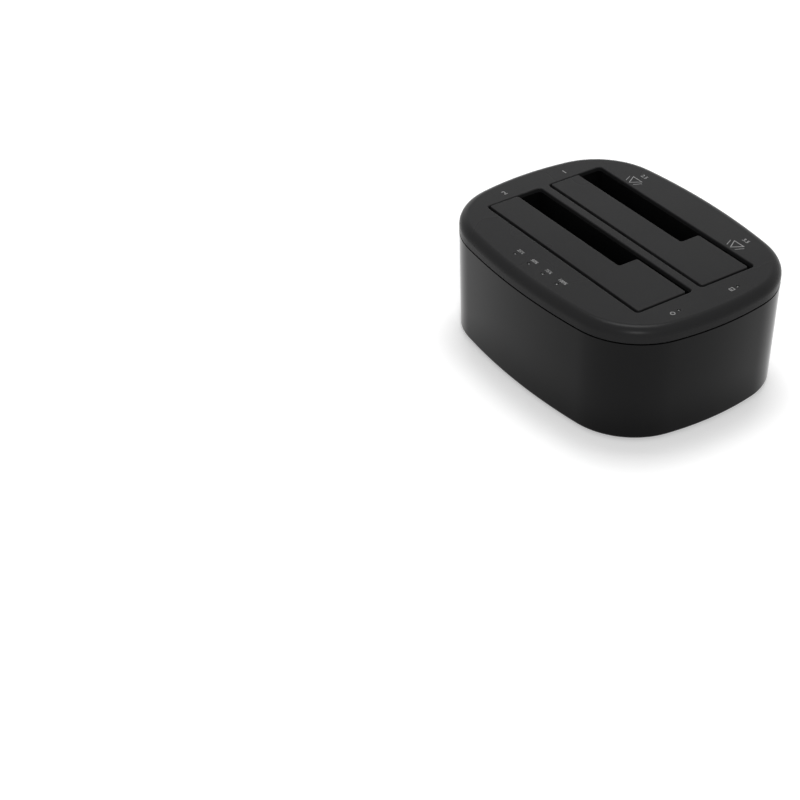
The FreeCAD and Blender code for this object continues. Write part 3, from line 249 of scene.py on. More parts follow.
def round_steps(centre, radius, start, stop, steps):
    """Places along a quarter round, as inset and height, between two directions in degrees."""
    places = []
    for step in range(steps + 1):
        turn = math.radians(start + (stop - start) * step / steps)
        places.append((centre[0] + radius * math.cos(turn), centre[1] + radius * math.sin(turn)))
    return places


def face_out(piece):
    """Turn every face of a closed piece outwards."""
    work = bmesh.new()
    work.from_mesh(piece.data)
    bmesh.ops.recalc_face_normals(work, faces=work.faces)
    work.to_mesh(piece.data)
    work.free()


def carve(piece, tool, operation="DIFFERENCE"):
    """Take the tool's solid away from the piece, or fuse it on, and drop the tool."""
    face_out(tool)
    modifier = piece.modifiers.new("carve", "BOOLEAN")
    modifier.object = tool
    modifier.operation = operation
    modifier.solver = "EXACT"
    evaluated = piece.evaluated_get(bpy.context.evaluated_depsgraph_get())
    carved = bpy.data.meshes.new_from_object(evaluated)
    piece.modifiers.clear()
    piece.data = carved
    bpy.data.objects.remove(tool)


def fuse(piece, *parts):
    """Melt more moulded forms into a piece."""
    for part in parts:
        carve(piece, part, "UNION")


def smooth(piece, sharp=32):
    """Smooth shading that keeps creases, with flat areas left flat."""
    piece.data.shade_smooth()
    piece.data.set_sharp_from_angle(angle=math.radians(sharp))
    weighted = piece.modifiers.new("flat areas", "WEIGHTED_NORMAL")
    weighted.keep_sharp = True


def ring_round(centre, radius, count, axis, level):
    """Points of a circle across one axis, at a level along that axis."""
    points = []
    for index in range(count):
        turn = 2 * math.pi * index / count
        across, up = radius * math.cos(turn), radius * math.sin(turn)
        if axis == "Z":
            points.append(Vector((centre[0] + across, centre[1] + up, level)))
        elif axis == "Y":
            points.append(Vector((centre[0] + across, level, centre[1] + up)))
        else:
            points.append(Vector((level, centre[0] + across, centre[1] + up)))
    return points


def turned(name, centre, profile, axis="Z", count=48):
    """A turned solid from pairs of radius and level, closed at both ends."""
    rings = [ring_round(centre, radius, count, axis, level) for radius, level in profile]
    piece = loft(name, rings)
    face_out(piece)
    return piece


def rounded_ring(low, high, radius, grow, level, axis="Z", steps=6):
    """A rectangle with round corners, grown outwards, at a level along an axis."""
    points = []
    corners = [(high[0], high[1], 0), (low[0], high[1], 90), (low[0], low[1], 180), (high[0], low[1], 270)]
    for x, y, start in corners:
        middle_x = x - math.copysign(radius, x - (low[0] + high[0]) / 2)
        middle_y = y - math.copysign(radius, y - (low[1] + high[1]) / 2)
        for step in range(steps + 1):
            turn = math.radians(start + 90 * step / steps)
            across = middle_x + (radius + grow) * math.cos(turn)
            up = middle_y + (radius + grow) * math.sin(turn)
            points.append(Vector((across, up, level)) if axis == "Z" else Vector((across, level, up)))
    return points


SIDE_DRAFT = 0.85 * MM
SEAM_BEVEL = 0.25 * MM
SEAM_GROOVE = 0.5 * MM
FOOT_ROUND = 1.5 * MM
INNER_WALL = 3.25 * MM
LEDGE_INSET = 4.8 * MM
LEDGE_LOW = 4.2 * MM
LEDGE_HIGH = 6.0 * MM


def draft_at(height):
    """How far the drafted side is drawn in at a height."""
    return SIDE_DRAFT * (seam - height) / (seam - foot)


WALL_ROWS = 5
wall_top = seam - 2 * SEAM_BEVEL
wall_foot = foot + FOOT_ROUND
shell_section = [(SEAM_GROOVE, seam), (SEAM_GROOVE, wall_top - SEAM_BEVEL)]
for row in range(WALL_ROWS + 1):
    height = wall_top + (wall_foot - wall_top) * row / WALL_ROWS
    shell_section.append((draft_at(height), height))
foot_middle = (draft_at(wall_foot) + FOOT_ROUND, wall_foot)
shell_section += round_steps(foot_middle, FOOT_ROUND, 180, 270, 8)[1:]
shell_section += [(INNER_WALL, foot), (INNER_WALL, LEDGE_LOW), (LEDGE_INSET, LEDGE_LOW)]
shell_section += [(LEDGE_INSET, LEDGE_HIGH), (INNER_WALL, LEDGE_HIGH), (INNER_WALL, seam)]
shell_rings = [plan_ring(inset, height) for inset, height in shell_section]
side_shell = loft("side_shell_moulding", shell_rings, closed=True)
face_out(side_shell)

PORT_HEIGHT = 15 * MM
PORT_START = 44 * MM
PORT_STOP = 60 * MM
SOCKET_GAP = 0.2 * MM
USB_CORNER = 0.4 * MM
usb_low, usb_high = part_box("usb_socket_shell")
dc_low, dc_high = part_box("dc_socket_housing")
power_low, power_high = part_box("power_button")
clone_low, clone_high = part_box("clone_button")
usb_mouth_low = (usb_low.x - SOCKET_GAP, usb_low.z - SOCKET_GAP)
usb_mouth_high = (usb_high.x + SOCKET_GAP, usb_high.z + SOCKET_GAP)
usb_rings = [rounded_ring(usb_mouth_low, usb_mouth_high, USB_CORNER, 0, level, "Y")
             for level in (PORT_START, PORT_STOP)]
carve(side_shell, loft("usb_cutter", usb_rings))
POWER_RADIUS = 3.0 * MM
CLONE_RADIUS = 2.4 * MM
BUTTON_GAP = 0.3 * MM
DC_COLLAR = 4.0 * MM
round_ports = [
    ((dc_low.x + dc_high.x) / 2, DC_COLLAR + SOCKET_GAP),
    ((power_low.x + power_high.x) / 2, POWER_RADIUS + BUTTON_GAP),
    ((clone_low.x + clone_high.x) / 2, CLONE_RADIUS + BUTTON_GAP),
]
for x, radius in round_ports:
    ends = [(radius, PORT_START), (radius, PORT_STOP)]
    carve(side_shell, turned("port_cutter", (x, PORT_HEIGHT), ends, "Y"))
smooth(side_shell)
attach(side_shell, "housing")
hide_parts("side_shell")


def new_group(name, inputs, outputs):
    """A shader node group with its named inputs, their plain values, and its named outputs."""
    group = bpy.data.node_groups.new(name, "ShaderNodeTree")
    for label, value in inputs:
        socket = group.interface.new_socket(label, in_out="INPUT", socket_type="NodeSocketFloat")
        socket.default_value = value
    for label in outputs:
        group.interface.new_socket(label, in_out="OUTPUT", socket_type="NodeSocketFloat")
    return group, group.nodes.new("NodeGroupInput").outputs, group.nodes.new("NodeGroupOutput").inputs


def noise(tree, place, scale, **more):
    """A cloudy pattern of a given fineness."""
    return add_node(tree, "ShaderNodeTexNoise", {"Vector": place, "Scale": scale, **more}).outputs[0]


def between(tree, value, low, high):
    """Nought at a low value, one at a high one, and even steps between them."""
    return add_node(tree, "ShaderNodeMapRange", {0: value, 1: low, 2: high}).outputs[0]


def make_handling():
    """Faint smears and fine hairlines, as hands and cloths leave them on polished plastic."""
    group, given, result = new_group("handling", [("Smears per metre", 30), ("Hairlines per metre", 900)],
                                     ["Smear", "Hairline"])
    place = object_place(group)
    smear = noise(group, place, given[0], Detail=4, Distortion=1.2)
    group.links.new(between(group, smear, 0.42, 0.72), result[0])
    drawn_out = add_node(group, "ShaderNodeMapping",
                         {"Vector": place, "Scale": (0.06, 0.06, 1), "Rotation": (0.3, 0.2, 0.5)})
    hair = noise(group, drawn_out.outputs[0], given[1], Detail=1)
    group.links.new(between(group, hair, 0.66, 0.74), result[1])
    return group


handling = make_handling()


def make_dust():
    """Specks of dust that settle on faces that look up."""
    group, given, result = new_group("settled dust", [("Specks per metre", 700), ("Cover", 0.1)], ["Dust"])
    place = object_place(group)
    facing = add_node(group, "ShaderNodeNewGeometry").outputs["Normal"]
    height = add_node(group, "ShaderNodeSeparateXYZ", {0: facing}).outputs["Z"]
    upward = between(group, height, 0.5, 1.0)
    specks = add_node(group, "ShaderNodeTexVoronoi", {"Vector": place, "Scale": given[0], "Randomness": 1.0})
    dots = between(group, specks.outputs["Distance"], 0.16, 0.06)
    patches = between(group, noise(group, place, 45, Detail=3), 0.5, 0.75)
    lying = combine(group, "MULTIPLY", combine(group, "MULTIPLY", dots, patches), upward)
    group.links.new(combine(group, "MULTIPLY", lying, given[1]), result[0])
    return group


dust = make_dust()


def new_finish(name, metallic=0.0, specular=0.5):
    """A material whose even values stand on its own shader."""
    material = bpy.data.materials.new(name)
    material.use_nodes = True
    shader = material.node_tree.nodes["Principled BSDF"]
    shader.inputs["Metallic"].default_value = metallic
    shader.inputs["Specular IOR Level"].default_value = specular
    return material, material.node_tree, shader.inputs


def place_group(tree, group, **values):
    """Put a shared group into a material, with the material's own values."""
    node = add_node(tree, "ShaderNodeGroup", node_tree=group)
    for label, value in values.items():
        node.inputs[label.replace("_", " ")].default_value = value
    return node.outputs


def blend_colours(tree, mask, first, second):
    """A colour between two, by a mask."""
    mix = add_node(tree, "ShaderNodeMix", {0: mask}, data_type="RGBA")
    for socket, colour in ((mix.inputs[6], first), (mix.inputs[7], second)):
        if isinstance(colour, bpy.types.NodeSocket):
            tree.links.new(colour, socket)
        else:
            socket.default_value = (*colour, 1)
    return mix.outputs[2]


def span_values(tree, mask, low, high):
    """A value that runs from low to high with a mask."""
    return add_node(tree, "ShaderNodeMapRange", {0: mask, 3: low, 4: high}).outputs[0]


def raise_bump(tree, height, strength, distance):
    """A normal from a height."""
    wires = {"Height": height, "Strength": strength, "Distance": distance}
    return add_node(tree, "ShaderNodeBump", wires).outputs[0]


def feed(tree, sockets, tone, roughness, normal):
    """Lead a finish's colour, roughness and normal to its shader."""
    for label, source in (("Base Color", tone), ("Roughness", roughness), ("Normal", normal)):
        tree.links.new(source, sockets[label])


def coat(piece, material):
    """Cover a whole piece with one material."""
    piece.data.materials.clear()
    piece.data.materials.append(material)


gloss_black, gloss_tree, gloss = new_finish("gloss_black", specular=0.12)
gloss_marks = place_group(gloss_tree, handling, Smears_per_metre=28, Hairlines_per_metre=700)
gloss_dust = place_group(gloss_tree, dust, Specks_per_metre=600, Cover=0.25)
gloss_deep = blend_colours(gloss_tree, gloss_marks["Smear"],
                           (0.0016, 0.0016, 0.0018), (0.0026, 0.0026, 0.0028))
gloss_tone = blend_colours(gloss_tree, gloss_dust["Dust"], gloss_deep, (0.07, 0.07, 0.07))
feed(gloss_tree, gloss, gloss_tone, span_values(gloss_tree, gloss_marks["Smear"], 0.02, 0.05),
     raise_bump(gloss_tree, gloss_marks["Hairline"], 0.06, 0.00002))
coat(side_shell, gloss_black)


# Top cover: the lid is moulded in matte plastic with a fine spark-eroded texture. It has a round
# crown, two bay openings with soft edges, six light holes, an inner lip, four posts and eight studs.

INK_ROOM = 0.015 * MM
LID_ROUND = 4.3 * MM
LID_WALL = 2 * MM
LIP_INSET = 3.45 * MM
LIP_WALL = 1 * MM
LIP_DEPTH = 1.8 * MM
lid_top = lid_high.z - INK_ROOM
lid_under = lid_high.z - LID_WALL
lip_foot = seam - LIP_DEPTH
lid_section = [(LIP_INSET + LIP_WALL, lid_under), (LIP_INSET + LIP_WALL, lip_foot), (LIP_INSET, lip_foot)]
lid_section += [(LIP_INSET, lid_under), (LID_WALL, lid_under), (LID_WALL, seam)]
lid_section += [(SEAM_BEVEL, seam), (0, seam + SEAM_BEVEL)]
lid_section += round_steps((LID_ROUND, lid_top - LID_ROUND), LID_ROUND, 180, 90, 14)
top_cover = loft("lid_moulding", [plan_ring(inset, height) for inset, height in lid_section])
face_out(top_cover)

BAY_LEFT = -53.6 * MM
BAY_RIGHT = 52.1 * MM
BAY_WIDTH = 30 * MM
BAY_CORNER = 1.8 * MM
BAY_LIP = 0.5 * MM
bay_fronts = {"target": -31.55 * MM, "source": 2.75 * MM}
over = 2 * MM


def bay_cutter(front):
    """A plug as wide as a bay, flared at the top to leave the opening's rounded edge."""
    low, high = (BAY_LEFT, front), (BAY_RIGHT, front + BAY_WIDTH)
    levels = [(0, lid_under - over), (0, lid_top - BAY_LIP)]
    flare = round_steps((0, 0), BAY_LIP, 0, 90, 5)[1:]
    levels += [(BAY_LIP - across, lid_top - BAY_LIP + up) for across, up in flare]
    levels.append((BAY_LIP, lid_top + over))
    return loft("bay_cutter", [rounded_ring(low, high, BAY_CORNER, grow, level) for grow, level in levels])


for front in bay_fronts.values():
    carve(top_cover, bay_cutter(front))

LIGHT_RADIUS = 0.8 * MM
LIGHT_GAP = 0.05 * MM
PROGRESS_PITCH = 9.8 * MM
STATUS_X = 60 * MM
progress_middle = Vector((0.7, -44.8)) * MM
progress_places = [progress_middle + Vector((PROGRESS_PITCH * step, 0)) for step in (-1.5, -0.5, 0.5, 1.5)]
status_places = [Vector((STATUS_X, side * 16 * MM)) for side in (-1, 1)]
for place in progress_places + status_places:
    hole = [(LIGHT_RADIUS + LIGHT_GAP, level) for level in (lid_under - over, lid_top + over)]
    carve(top_cover, turned("light_cutter", place, hole, count=24))


def bar(low, high, edge=0.1 * MM):
    """A moulded block with softened edges between two corners."""
    levels = [(-edge, low[2]), (0, low[2] + edge), (0, high[2] - edge), (-edge, high[2])]
    rings = [rounded_ring(low, high, 1.5 * edge, grow, level, steps=3) for grow, level in levels]
    return loft("bar", rings)


POST_RADIUS = 2.8 * MM
POST_FOOT = 4.6 * MM
POST_BORE = 1.15 * MM
BORE_END = 18.6 * MM
POST_X = 58.4 * MM
POST_Y = 28.6 * MM
LIGHT_STUD_HALF = 1.8 * MM
LIGHT_STUD_FOOT = 51.5 * MM
WELL_STUD_HALF = 2.4 * MM
WELL_STUD_FOOT = 52 * MM
sunk = 0.5 * MM
post_places = [(x * POST_X, y * POST_Y) for x, y in ((1, 1), (-1, 1), (-1, -1), (1, -1))]
post_section = [(POST_BORE, BORE_END), (POST_BORE, POST_FOOT), (POST_RADIUS, POST_FOOT),
                (POST_RADIUS, lid_under + sunk)]
for place in post_places:
    fuse(top_cover, turned("post", place, post_section))
light_stud_places = [progress_middle + Vector((side * 20 * MM, 0)) for side in (-1, 1)]
light_stud_places += [Vector((STATUS_X, side * 10 * MM)) for side in (-1, 1)]
well_stud_places = [Vector((side * 32, y)) * MM for side in (-1, 1) for y in (-39.2, 36.75)]
for places, half, foot_level in ((light_stud_places, LIGHT_STUD_HALF, LIGHT_STUD_FOOT),
                                 (well_stud_places, WELL_STUD_HALF, WELL_STUD_FOOT)):
    for x, y in places:
        fuse(top_cover, bar((x - half, y - half, foot_level), (x + half, y + half, lid_under + sunk)))
smooth(top_cover)
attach(top_cover, "housing")
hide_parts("top_cover")


def make_moulded_grain():
    """The fine pits of a spark-eroded mould, with a broad drift in tone."""
    group, given, result = new_group("moulded grain", [("Pits per metre", 2600), ("Drift per metre", 14)],
                                     ["Height", "Drift"])
    place = object_place(group)
    pits = noise(group, place, given[0], Detail=2, Roughness=0.6)
    cells = add_node(group, "ShaderNodeTexVoronoi", {"Vector": place, "Scale": given[0]})
    group.links.new(combine(group, "ADD", pits, cells.outputs["Distance"]), result[0])
    drift = noise(group, place, given[1], Detail=2)
    group.links.new(between(group, drift, 0.35, 0.65), result[1])
    return group


moulded_grain = make_moulded_grain()


RIM_BAND = 0.08


def make_edge_wear():
    """Where a rim has been rubbed, broken up by small nicks."""
    group, given, result = new_group("edge wear", [("Sharpness", 0.55), ("Nicks per metre", 260)], ["Wear"])
    place = object_place(group)
    rim = add_node(group, "ShaderNodeNewGeometry").outputs["Pointiness"]
    edge = between(group, rim, given[0], combine(group, "ADD", given[0], RIM_BAND))
    nicks = between(group, noise(group, place, given[1], Detail=3), 0.4, 0.7)
    group.links.new(combine(group, "MULTIPLY", edge, nicks), result[0])
    return group


edge_wear = make_edge_wear()


def matte_plastic(name, dark, light, rough, specular, pits, depth):
    """Moulded plastic with the mould's texture, a slow drift in tone, rubbed rims and a little dust."""
    material, tree, sockets = new_finish(name, specular=specular)
    grain = place_group(tree, moulded_grain, Pits_per_metre=pits)
    wear = place_group(tree, edge_wear)
    specks = place_group(tree, dust, Cover=0.12)
    tone = blend_colours(tree, grain["Drift"], dark, light)
    half_worn = span_values(tree, wear["Wear"], 0, 0.5)
    rubbed = blend_colours(tree, half_worn, tone, [2.2 * value for value in light])
    dusty = blend_colours(tree, specks["Dust"], rubbed, (0.16, 0.16, 0.16))
    feed(tree, sockets, dusty, span_values(tree, grain["Drift"], rough - 0.03, rough + 0.03),
         raise_bump(tree, grain["Height"], depth, 0.00004))
    return material


lid_plastic = matte_plastic("lid_plastic", (0.0136, 0.0136, 0.014), (0.0154, 0.0154, 0.0158),
                            rough=0.29, specular=0.068, pits=2600, depth=0.3)
coat(top_cover, lid_plastic)


# Print on the lid: pale grey pad-printed numerals at the lights and the bays, two small signs
# beside the status lights, and an arrow mark with its drive size behind each end of the bays.

INK_THICKNESS = 0.01 * MM
INK_SWELL = 0.006
ink_level = lid_high.z - INK_THICKNESS / 2


def print_numeral(name, words, place, size, turn):
    """Flat numerals in ink, centred on a place of the lid and turned in plan."""
    curve = bpy.data.curves.new(name, "FONT")
    curve.body = words
    curve.size = size * MM
    curve.align_x = "CENTER"
    curve.align_y = "CENTER"
    curve.extrude = INK_THICKNESS / 2
    curve.offset = size * MM * INK_SWELL
    writing = place_object(name, curve)
    writing.location = (place[0] * MM, place[1] * MM, ink_level)
    writing.rotation_euler = (0, 0, math.radians(turn))
    bpy.context.view_layer.update()
    mesh = bpy.data.meshes.new_from_object(writing.evaluated_get(bpy.context.evaluated_depsgraph_get()))
    mesh.transform(writing.matrix_world)
    bpy.data.objects.remove(writing)
    return place_object(name, mesh)


def ink_levels():
    """Heights of the underside and the face of the ink."""
    return ink_level - INK_THICKNESS / 2, ink_level + INK_THICKNESS / 2


def flat_ring(spots, level):
    """Places of the lid as points at one level."""
    return [Vector((spot.x, spot.y, level)) for spot in spots]


def print_line(start, stop, width):
    """A flat stroke in ink between two places of the lid, in millimetres."""
    start, stop = Vector(start) * MM, Vector(stop) * MM
    along = (stop - start).normalized() * width * MM / 2
    across = Vector((-along.y, along.x))
    corners = (start - along - across, stop + along - across, stop + along + across, start - along + across)
    return loft("ink_line", [flat_ring(corners, level) for level in ink_levels()])


def print_outline(points, width):
    """A flat closed stroke in ink with mitred corners through places of the lid, in millimetres."""
    corners = [Vector(point) * MM for point in points]
    edges = ([], [])
    for index, here in enumerate(corners):
        come = (here - corners[index - 1]).normalized()
        go = (corners[(index + 1) % len(corners)] - here).normalized()
        side = Vector((come.y, -come.x))
        bend = (side + Vector((go.y, -go.x))).normalized()
        reach = bend * (width * MM / 2 / bend.dot(side))
        edges[0].append(here + reach)
        edges[1].append(here - reach)
    low, high = ink_levels()
    rings = [(edges[0], low), (edges[0], high), (edges[1], high), (edges[1], low)]
    return loft("ink_outline", [flat_ring(edge, level) for edge, level in rings], closed=True)


def join_pieces(name, pieces):
    """One object from several."""
    work = bmesh.new()
    for piece in pieces:
        work.from_mesh(piece.data)
        bpy.data.objects.remove(piece)
    mesh = bpy.data.meshes.new(name)
    work.to_mesh(mesh)
    work.free()
    return place_object(name, mesh)


SHARE_SIZE = 2.4
SHARE_SHIFT = (0.2, 2.9)
BAY_NUMBER_SIZE = 4
BAY_NUMBER_X = -58.8
progress_words = ("25%", "50%", "75%", "100%")
progress_print = []
for words, place in zip(progress_words, progress_places):
    spot = (place.x / MM + SHARE_SHIFT[0], place.y / MM + SHARE_SHIFT[1])
    progress_print.append(print_numeral("share", words, spot, SHARE_SIZE, 0))
bay_print = [print_numeral("bay_two", "2", (BAY_NUMBER_X, -17.8), BAY_NUMBER_SIZE, 90),
             print_numeral("bay_one", "1", (BAY_NUMBER_X, 16.2), BAY_NUMBER_SIZE, 90)]
ARROW_STROKE = 0.38
DASH_STROKE = 0.3
INCHES_SIZE = 3.0


def drive_mark(x, words):
    """A hollow arrow that points into the bay, two slanted dashes a side, and the size in inches."""
    arrow = print_outline([(x - 3, 39.3), (x, 34.4), (x + 3, 39.3)], ARROW_STROKE)
    dashes = []
    for side in (-1, 1):
        for step in (0, 1):
            top = (x + side * (4.3 - 0.9 * step), 38.2 - 1.9 * step)
            low = (x + side * (3.5 - 0.9 * step), 36.6 - 1.9 * step)
            dashes.append(print_line(top, low, DASH_STROKE))
    return [arrow] + dashes + [print_numeral("inches", words, (x, 43.2), INCHES_SIZE, 0)]


RING_MIDDLE = (60.4, -19.6)
RING_RADIUS = 0.95
RING_STROKE = 0.34
BOX_STROKE = 0.28


def status_signs():
    """A small ring at one light, and at the other a small box with a line in it."""
    turns = [step * math.pi / 8 for step in range(16)]
    ring = [(RING_MIDDLE[0] + RING_RADIUS * math.cos(turn), RING_MIDDLE[1] + RING_RADIUS * math.sin(turn))
            for turn in turns]
    box = [(59.4, 11.4), (61.2, 11.4), (61.2, 13.4), (59.4, 13.4)]
    return [print_outline(ring, RING_STROKE), print_outline(box, BOX_STROKE),
            print_line((59.9, 12.05), (60.7, 12.05), BOX_STROKE)]


lid_ink, ink_tree, ink = new_finish("lid_ink", specular=0.35)
ink_grain = place_group(ink_tree, moulded_grain, Pits_per_metre=3200, Drift_per_metre=160)
ink_tone = blend_colours(ink_tree, ink_grain["Drift"], (0.2, 0.2, 0.2), (0.3, 0.3, 0.3))
feed(ink_tree, ink, ink_tone, span_values(ink_tree, ink_grain["Drift"], 0.5, 0.6),
     raise_bump(ink_tree, ink_grain["Height"], 0.25, 0.00002))
printed = {
    "progress_print": progress_print,
    "bay_number_print": bay_print,
    "small_drive_print": drive_mark(-34.2, "2.5"),
    "large_drive_print": drive_mark(34.6, "3.5"),
    "status_print": status_signs(),
}
for name, pieces in printed.items():
    mark = join_pieces(name, pieces)
    mark.data.materials.append(lid_ink)
    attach(mark, "housing")


# Flaps: each bay has an L-shaped plate in the lid's plastic, with soft edges. Two barrels under
# its front edge turn on a steel pin, and a spine with cross ribs stiffens it from below.

flap_plastic = matte_plastic("flap_plastic", (0.0134, 0.0134, 0.0138), (0.0149, 0.0149, 0.0153),
                             rough=0.3, specular=0.066, pits=2600, depth=0.3)
FLAP_UNDER = 55.5 * MM
FLAP_EDGE = 0.4 * MM
FLAP_CORNER = 1.2 * MM
FLAP_SETBACK = 1.4 * MM
FLAP_END_GAP = 0.4 * MM
SLOT_END = 19.1 * MM
SLOT_WIDTH = 12.9 * MM
HINGE_SETBACK = 2 * MM
HINGE_HEIGHT = 53.2 * MM
BARREL_RADIUS = 1.35 * MM
BARREL_BORE = 0.9 * MM
BARREL_SIDES = 32
LUG_START = 38 * MM
LUG_END = 46 * MM
RIB_WALL = 1.2 * MM
RIB_FOOT = FLAP_UNDER - 1.8 * MM
RIB_PITCH = 17 * MM
RIB_COUNT = 4
RIB_INSET = 1.5 * MM
SPINE_INSET = 6 * MM
END_RIBS = (8 * MM, 20 * MM)
END_RIB_INSET = 2 * MM
WEB_KNEE = 4.5 * MM
WEB_REACH = 9 * MM
WEB_LAP = 0.6 * MM
WEB_GAP = 0.4 * MM
END_ROUND = 0.15 * MM


def cornered_ring(corners, radius, inset, level, steps=6):
    """An outline of straight sides with round corners, drawn in by an inset, at one level."""
    points = []
    for index, corner in enumerate(corners):
        here = Vector(corner)
        come = (here - Vector(corners[index - 1])).normalized()
        go = (Vector(corners[(index + 1) % len(corners)]) - here).normalized()
        bend = 1 if come.x * go.y - come.y * go.x > 0 else -1
        left = Vector((-come.y, come.x))
        middle = here - come * radius + left * radius * bend
        start = math.atan2(-left.y * bend, -left.x * bend)
        for step in range(steps + 1):
            turn = start + bend * math.pi / 2 * step / steps
            reach = radius - bend * inset
            across, along = reach * math.cos(turn), reach * math.sin(turn)
            points.append(Vector((middle.x + across, middle.y + along, level)))
    return points


def extruded(profile, start, stop):
    """A straight bar along X with a profile of Y and Z."""
    return loft("extruded", [[Vector((x, y, z)) for y, z in profile] for x in (start, stop)])


def make_flap(name, bay_front):
    """The plate with its lugs, spine, cross ribs and the two ribs of its wide end."""
    low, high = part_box(name)
    front = bay_front + FLAP_SETBACK
    hinge_y = bay_front - HINGE_SETBACK
    slot_front = bay_front + BAY_WIDTH - SLOT_WIDTH
    left = BAY_LEFT + FLAP_END_GAP
    corners = [(left, front), (high.x, front), (high.x, high.y), (SLOT_END, high.y), (SLOT_END, slot_front),
               (left, slot_front)]
    under_edge = FLAP_EDGE * 0.3
    edge = [(under_edge, FLAP_UNDER), (0, FLAP_UNDER + under_edge)]
    edge += round_steps((FLAP_EDGE, lid_top - FLAP_EDGE), FLAP_EDGE, 180, 90, 6)
    rings = [cornered_ring(corners, FLAP_CORNER, inset, level) for inset, level in edge]
    plate = loft(name + "_plate", rings)
    face_out(plate)
    top = FLAP_UNDER + sunk
    spine = (front + slot_front + RIB_WALL) / 2
    spine_low, spine_high = low.x + SPINE_INSET, high.x - SPINE_INSET
    fuse(plate, bar((spine_low, spine, RIB_FOOT), (spine_high, spine + RIB_WALL, top)))
    for step in range(RIB_COUNT):
        x = RIB_PITCH * (step - (RIB_COUNT - 1) / 2)
        fuse(plate, bar((x, front + RIB_INSET, RIB_FOOT), (x + RIB_WALL, slot_front - RIB_INSET, top)))
    rib_low, rib_high = slot_front - END_RIB_INSET, high.y - END_RIB_INSET
    for step in END_RIBS:
        x = SLOT_END + step
        fuse(plate, bar((x, rib_low, RIB_FOOT), (x + RIB_WALL, rib_high, top)))
    foot_level = HINGE_HEIGHT - BARREL_RADIUS
    web_top = lid_under - WEB_GAP
    web_end = hinge_y + WEB_REACH
    web = [(hinge_y, foot_level), (hinge_y + WEB_KNEE, foot_level + WEB_LAP),
           (web_end, FLAP_UNDER - WEB_LAP), (web_end, FLAP_UNDER + WEB_LAP),
           (front + WEB_LAP, FLAP_UNDER + WEB_LAP), (front + WEB_LAP, web_top), (hinge_y, web_top)]
    for side in (-1, 1):
        start, stop = sorted((side * LUG_START, side * LUG_END))
        barrel = [(BARREL_RADIUS - END_ROUND, start), (BARREL_RADIUS, start + END_ROUND),
                  (BARREL_RADIUS, stop - END_ROUND), (BARREL_RADIUS - END_ROUND, stop)]
        tube = turned("barrel", (hinge_y, HINGE_HEIGHT), barrel, "X", BARREL_SIDES)
        fuse(plate, extruded(web, start, stop), tube)
    bore = [(BARREL_BORE, -LUG_END - over), (BARREL_BORE, LUG_END + over)]
    carve(plate, turned("bore", (hinge_y, HINGE_HEIGHT), bore, "X", BARREL_SIDES))
    smooth(plate)
    return plate


for bay, front in bay_fronts.items():
    flap = make_flap(bay + "_flap", front)
    coat(flap, flap_plastic)
    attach(flap, bay + "_flap")
    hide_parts(bay + "_flap")


# Well frame: one black moulding that hangs under the lid and holds both drives upright over their
# sockets. It is plainer than the lid, with a slightly coarser grain. Its tone is darkened well past
# the lid's into painted shade, so that the deep bays read black.

# Painted shade: a near-black tone, far darker than the lid, that keeps the bays' depths black beyond what the
# lamps leave there.
well_plastic_and_painted_shade = matte_plastic("well_plastic_and_painted_shade", (0.0015, 0.0015, 0.0016), (0.0022, 0.0022, 0.0023),
                             rough=0.6, specular=0.05, pits=1800, depth=0.4)


def paint(material, *names):
    """Give carried-over CAD nodes their finish."""
    for name in names:
        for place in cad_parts[name].material_slots:
            place.material = material


paint(well_plastic_and_painted_shade, "well_frame", "power_switch", "clone_switch")


# Drive sockets: black glass-filled plastic headers with two keyed cavities between guide horns, and
# a row of gold-plated contacts along each cavity.

socket_plastic = matte_plastic("socket_plastic", (0.012, 0.012, 0.013), (0.018, 0.018, 0.019),
                               rough=0.42, specular=0.4, pits=3000, depth=0.25)
paint(socket_plastic, "target_drive_socket", "source_drive_socket", "ribbon_connectors")


def make_drawn_metal():
    """Long fine lines left by drawing or rolling, and a soft tarnish."""
    group, given, result = new_group("drawn metal", [("Lines per metre", 5200), ("Tarnish per metre", 120)],
                                     ["Line", "Tarnish"])
    place = object_place(group)
    drawn = add_node(group, "ShaderNodeMapping", {"Vector": place, "Scale": (0.04, 1, 1)})
    group.links.new(noise(group, drawn.outputs[0], given[0], Detail=2), result[0])
    stain = noise(group, place, given[1], Detail=4)
    group.links.new(between(group, stain, 0.4, 0.75), result[1])
    return group


drawn_metal = make_drawn_metal()


def metal(name, bright, dull, smooth_value, rough_value, lines):
    """Metal with drawn lines and a soft tarnish."""
    material, tree, sockets = new_finish(name, metallic=1.0)
    marks = place_group(tree, drawn_metal, Lines_per_metre=lines)
    tone = blend_colours(tree, marks["Tarnish"], bright, dull)
    feed(tree, sockets, tone, span_values(tree, marks["Line"], smooth_value, rough_value),
         raise_bump(tree, marks["Line"], 0.15, 0.00001))
    return material


contact_gold = metal("contact_gold", (0.86, 0.62, 0.24), (0.7, 0.46, 0.17), 0.16, 0.34, 4000)
paint(contact_gold, "target_socket_contacts", "source_socket_contacts")


# Hinges: a ground steel pin runs through both barrels of a flap, and a wound wire spring on it
# presses the flap shut, with one leg under the plate and one down the wall of the well.

pin_steel = metal("pin_steel", (0.6, 0.6, 0.6), (0.42, 0.42, 0.43), 0.2, 0.4, 5200)
paint(pin_steel, "target_hinge_pin", "source_hinge_pin", "dc_socket_pin")
spring_steel = metal("spring_steel", (0.5, 0.5, 0.51), (0.3, 0.29, 0.28), 0.25, 0.45, 3600)
WIRE_RADIUS = 0.19 * MM
COIL_RADIUS = 1.3 * MM
COIL_START = -5.5 * MM
COIL_LENGTH = 3 * MM
COIL_TURNS = 6
COIL_STEPS = 20
LOWER_LEG = (2.2, 1.2, 0.4)
UPPER_LEG = (0.8, 1.6, 2.4, 3.2, 4.4, 5.9, 7.4)


